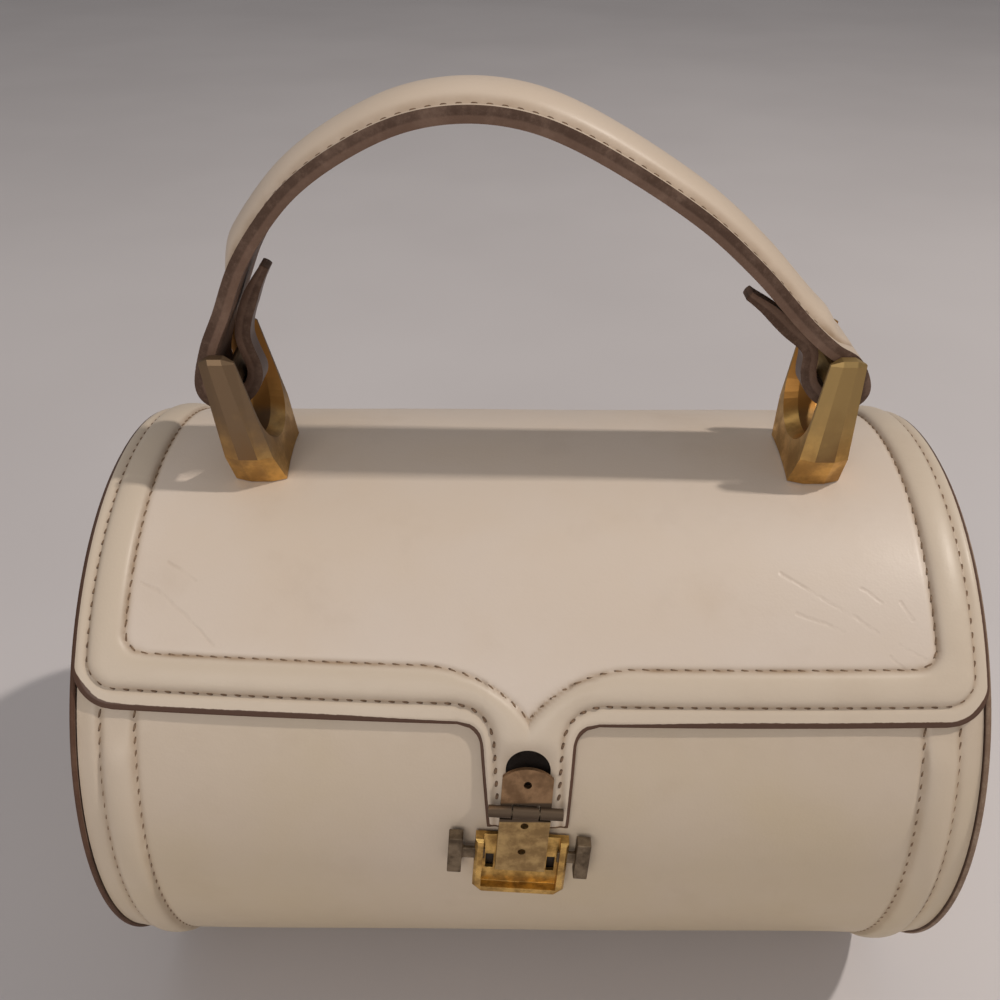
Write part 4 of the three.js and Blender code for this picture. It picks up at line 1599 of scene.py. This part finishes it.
        # Darker along the rows where the dome closes at each end.
        closing = smooth(past, 0.0, 2.0) * (1 - smooth(past, self.eye, 1.6 * self.eye))
        soil_and_shade = soil_and_shade + 0.5 * closing[:, None] * bell(near, 0.6)
        paint_and_shade = np.clip(1.0 - from_end / (2.0 * self.brown), 0.0, 1.0)[:, None]
        values = {"soil_and_shade": np.clip(soil_and_shade, 0.0, 1.0), "paint_and_shade": np.broadcast_to(paint_and_shade, soil_and_shade.shape)}
        return slab(outside, inside, self.bulge, values, rings=8)

    def thread(self) -> Surface:
        """Stitches along both rows of the dome, closing at its ends."""
        line, out, _, past = self.frame(1200)
        kept = past >= self.sewn
        line, out, past = line[kept], out[kept], past[kept]
        made = []
        for side in Side:
            y = side.value * self.row_half(past)
            lift = self.thickness / 2 + self.rise(y, past)
            row = line + out * lift[:, None] + np.stack([0 * y, y, 0 * y], axis=1)
            holes = resampled(row, self.stitch)
            turn = np.linspace(0, len(out) - 1, len(holes)).round().astype(int)
            made.append(thread_on(holes, out[turn]))
        return merged(made)

    def dress(self, look: Finishes) -> list[Piece]:
        """Makes the strap and its thread.

        Args:
            look: The finishes.

        Returns:
            The pieces.
        """
        strap = self.strap().make("handle_leather_strap", [look.strap, look.strap_edge, look.suede])
        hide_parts("handle_strap")
        sewing = self.thread().make("handle_stitching", [look.thread])
        return [strap, sewing]


@dataclass
class Hardware:
    """The metal: each solid's copy with eased edges and its own finish.

    Attributes:
        nodes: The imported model's objects by name.
        sharp_deg: Edges that turn more than this stay crisp, on faceted and on round pieces.
    """

    nodes: dict[str, Piece]
    sharp_deg: Pair = (12.0, 32.0)

    def eased(self, node: str, material: Material, width: float, sharp: float) -> Piece:
        """Copies a solid, merges its facets and eases its edges.

        Args:
            node: The solid's name.
            material: Its finish.
            width: Width of the eased edges.
            sharp: Edges that turn more than this, in degrees, stay crisp.

        Returns:
            The new piece, which stands for the solid.
        """
        work = bmesh.new()
        work.from_mesh(self.nodes[node].data)
        bmesh.ops.remove_doubles(work, verts=work.verts, dist=1e-6)
        bmesh.ops.dissolve_limit(work, angle_limit=math.radians(0.5), verts=work.verts, edges=work.edges)
        mesh = bpy.data.meshes.new(f"{node}_metal")
        work.to_mesh(mesh)
        work.free()
        piece = shaded(mesh, [material], sharp)
        bevel = piece.modifiers.new("eased", "BEVEL")
        bevel.width = width * MM
        bevel.segments = 3
        bevel.limit_method = "ANGLE"
        bevel.angle_limit = math.radians(28)
        bevel.harden_normals = True
        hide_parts(node)
        return piece

    def dress(self, look: Finishes) -> list[tuple[Piece, str]]:
        """Makes every metal piece.

        Args:
            look: The finishes.

        Returns:
            The pieces, each with the body that it moves with.
        """
        facets, rounds = self.sharp_deg
        plan = (
            ("handle_ring_left", look.gold, "gold_metal", 0.3, facets, "bag"),
            ("handle_ring_right", look.gold_right, "gold_metal", 0.3, facets, "bag"),
            ("ring_rivet_left", look.pewter, "pewter_metal", 0.3, rounds, "bag"),
            ("ring_rivet_right", look.pewter, "pewter_metal", 0.3, rounds, "bag"),
            ("clasp_frame", look.tray, "gold_metal", 0.22, rounds, "bag"),
            ("clasp_hasp", look.hasp, "gold_metal", 0.2, rounds, "bag"),
            ("clasp_pin", look.pewter, "pewter_metal", 0.15, rounds, "bag"),
            ("clasp_lever", look.lever, "gold_metal", 0.2, rounds, "lever"),
            ("clasp_tab_left", look.pewter, "pewter_metal", 0.3, rounds, "tab_left"),
            ("clasp_tab_right", look.pewter, "pewter_metal", 0.3, rounds, "tab_right"),
        )
        made = []
        for node, material, slot, width, sharp, body in plan:
            piece = self.eased(node, material, width, sharp)
            made.append((piece, body))
        return made


@dataclass
class Studio:
    """The floor, the lights and the camera at the photograph's view.

    Attributes:
        eye: The camera's place from the barrel's axis, in millimetres.
        yaw_deg: Turn of the view to the right of straight ahead.
        pitch_deg: How far the view looks down.
        roll_deg: Turn about the line of sight.
        focal: Focal length over the frame's width.
        lens_width: Sensor width in millimetres.
        target: What the lamps face, in metres.
    """

    eye: tuple[float, float, float] = (-4.2, -232.6, 202.2)
    yaw_deg: float = -0.67
    pitch_deg: float = 32.19
    roll_deg: float = -0.1
    focal: float = 1.05088
    lens_width: float = 36.0
    target: Colour = (0.0, 0.0, 0.1)

    def camera(self, axis_height: float) -> None:
        """Sets up the camera from its place and angles.

        Args:
            axis_height: Of the barrel's axis.
        """
        yaw, pitch, roll = (math.radians(v) for v in (self.yaw_deg, self.pitch_deg, self.roll_deg))
        ahead = Vector((math.sin(yaw) * math.cos(pitch), math.cos(yaw) * math.cos(pitch), -math.sin(pitch)))
        right = Vector((math.cos(yaw), -math.sin(yaw), 0.0))
        up = right.cross(ahead)
        turned_right = right * math.cos(roll) + up * math.sin(roll)
        turned_up = up * math.cos(roll) - right * math.sin(roll)
        data = bpy.data.cameras.new("camera")
        data.sensor_width = self.lens_width
        data.sensor_fit = "HORIZONTAL"
        data.lens = self.focal * self.lens_width
        data.clip_start = 0.01
        camera = linked("camera", data)
        place = (Vector(self.eye) + Vector((0.0, 0.0, axis_height))) * MM
        frame = Matrix((turned_right, turned_up, -ahead)).transposed().to_4x4()
        camera.matrix_world = Matrix.Translation(place) @ frame
        bpy.context.scene.camera = camera

    def lamp(self, name: str, place: Colour, size: float, watts: float, colour: Colour) -> None:
        """Adds a square area light that faces the bag, all in metres.

        Args:
            name: Its name.
            place: Its middle.
            size: Its width.
            watts: Its power.
            colour: Its colour.
        """
        data = bpy.data.lights.new(name, "AREA")
        data.size = size
        data.energy = watts
        data.color = colour
        lamp = linked(name, data)
        lamp.location = place
        lamp.rotation_euler = (Vector(self.target) - Vector(place)).to_track_quat("-Z", "Y").to_euler()

    def light(self) -> None:
        """Adds a small key high at the right, a wide front fill, a faint ceiling and the sky."""
        self.lamp("key", (0.95, -0.06, 1.5), 0.06, 14.5, (1.0, 0.93, 0.85))
        self.lamp("front_fill", (-0.4, -1.5, 0.8), 1.0, 10.0, (1.0, 0.95, 0.90))
        self.lamp("ceiling", (-0.2, 0.3, 1.8), 1.4, 2.5, (1.0, 0.95, 0.90))
        world = bpy.data.worlds.new("sky")
        world.use_nodes = True
        sky = world.node_tree.nodes["Background"].inputs
        sky["Color"].default_value = (0.80, 0.77, 0.76, 1.0)
        sky["Strength"].default_value = 0.31
        bpy.context.scene.world = world
        bpy.context.scene.view_settings.view_transform = "Standard"

    def floor(self, look: Finishes) -> None:
        """Adds the floor, a wide flat sheet.

        Args:
            look: The finishes.
        """
        mesh = bpy.data.meshes.new("floor")
        corners = np.array([[-1, -1], [1, -1], [1, 1], [-1, 1]]) * 6.0
        mesh.from_pydata(np.column_stack([corners, np.full(4, -0.0002)]).tolist(), [], [(0, 1, 2, 3)])
        mesh.materials.append(look.floor)
        floor = linked("floor", mesh)


def main() -> None:
    """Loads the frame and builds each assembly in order."""
    logging.basicConfig(level=logging.INFO, format="%(name)s: %(message)s")
    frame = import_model()
    look = Finishes()
    barrel = Barrel()
    studio = Studio()
    studio.camera(barrel.axis_height)
    studio.light()
    studio.floor(look)
    for assembly in (Body(barrel), Flap(barrel), Handle(barrel)):
        for piece in assembly.dress(look):
            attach(piece, "bag")
            LOG.info("%s: %d faces", piece.name, len(piece.data.polygons))
    for piece, body in Hardware(frame["nodes"]).dress(look):
        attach(piece, body)
        LOG.info("%s: rides on %s", piece.name, body)


if __name__ == "__main__":
    main()
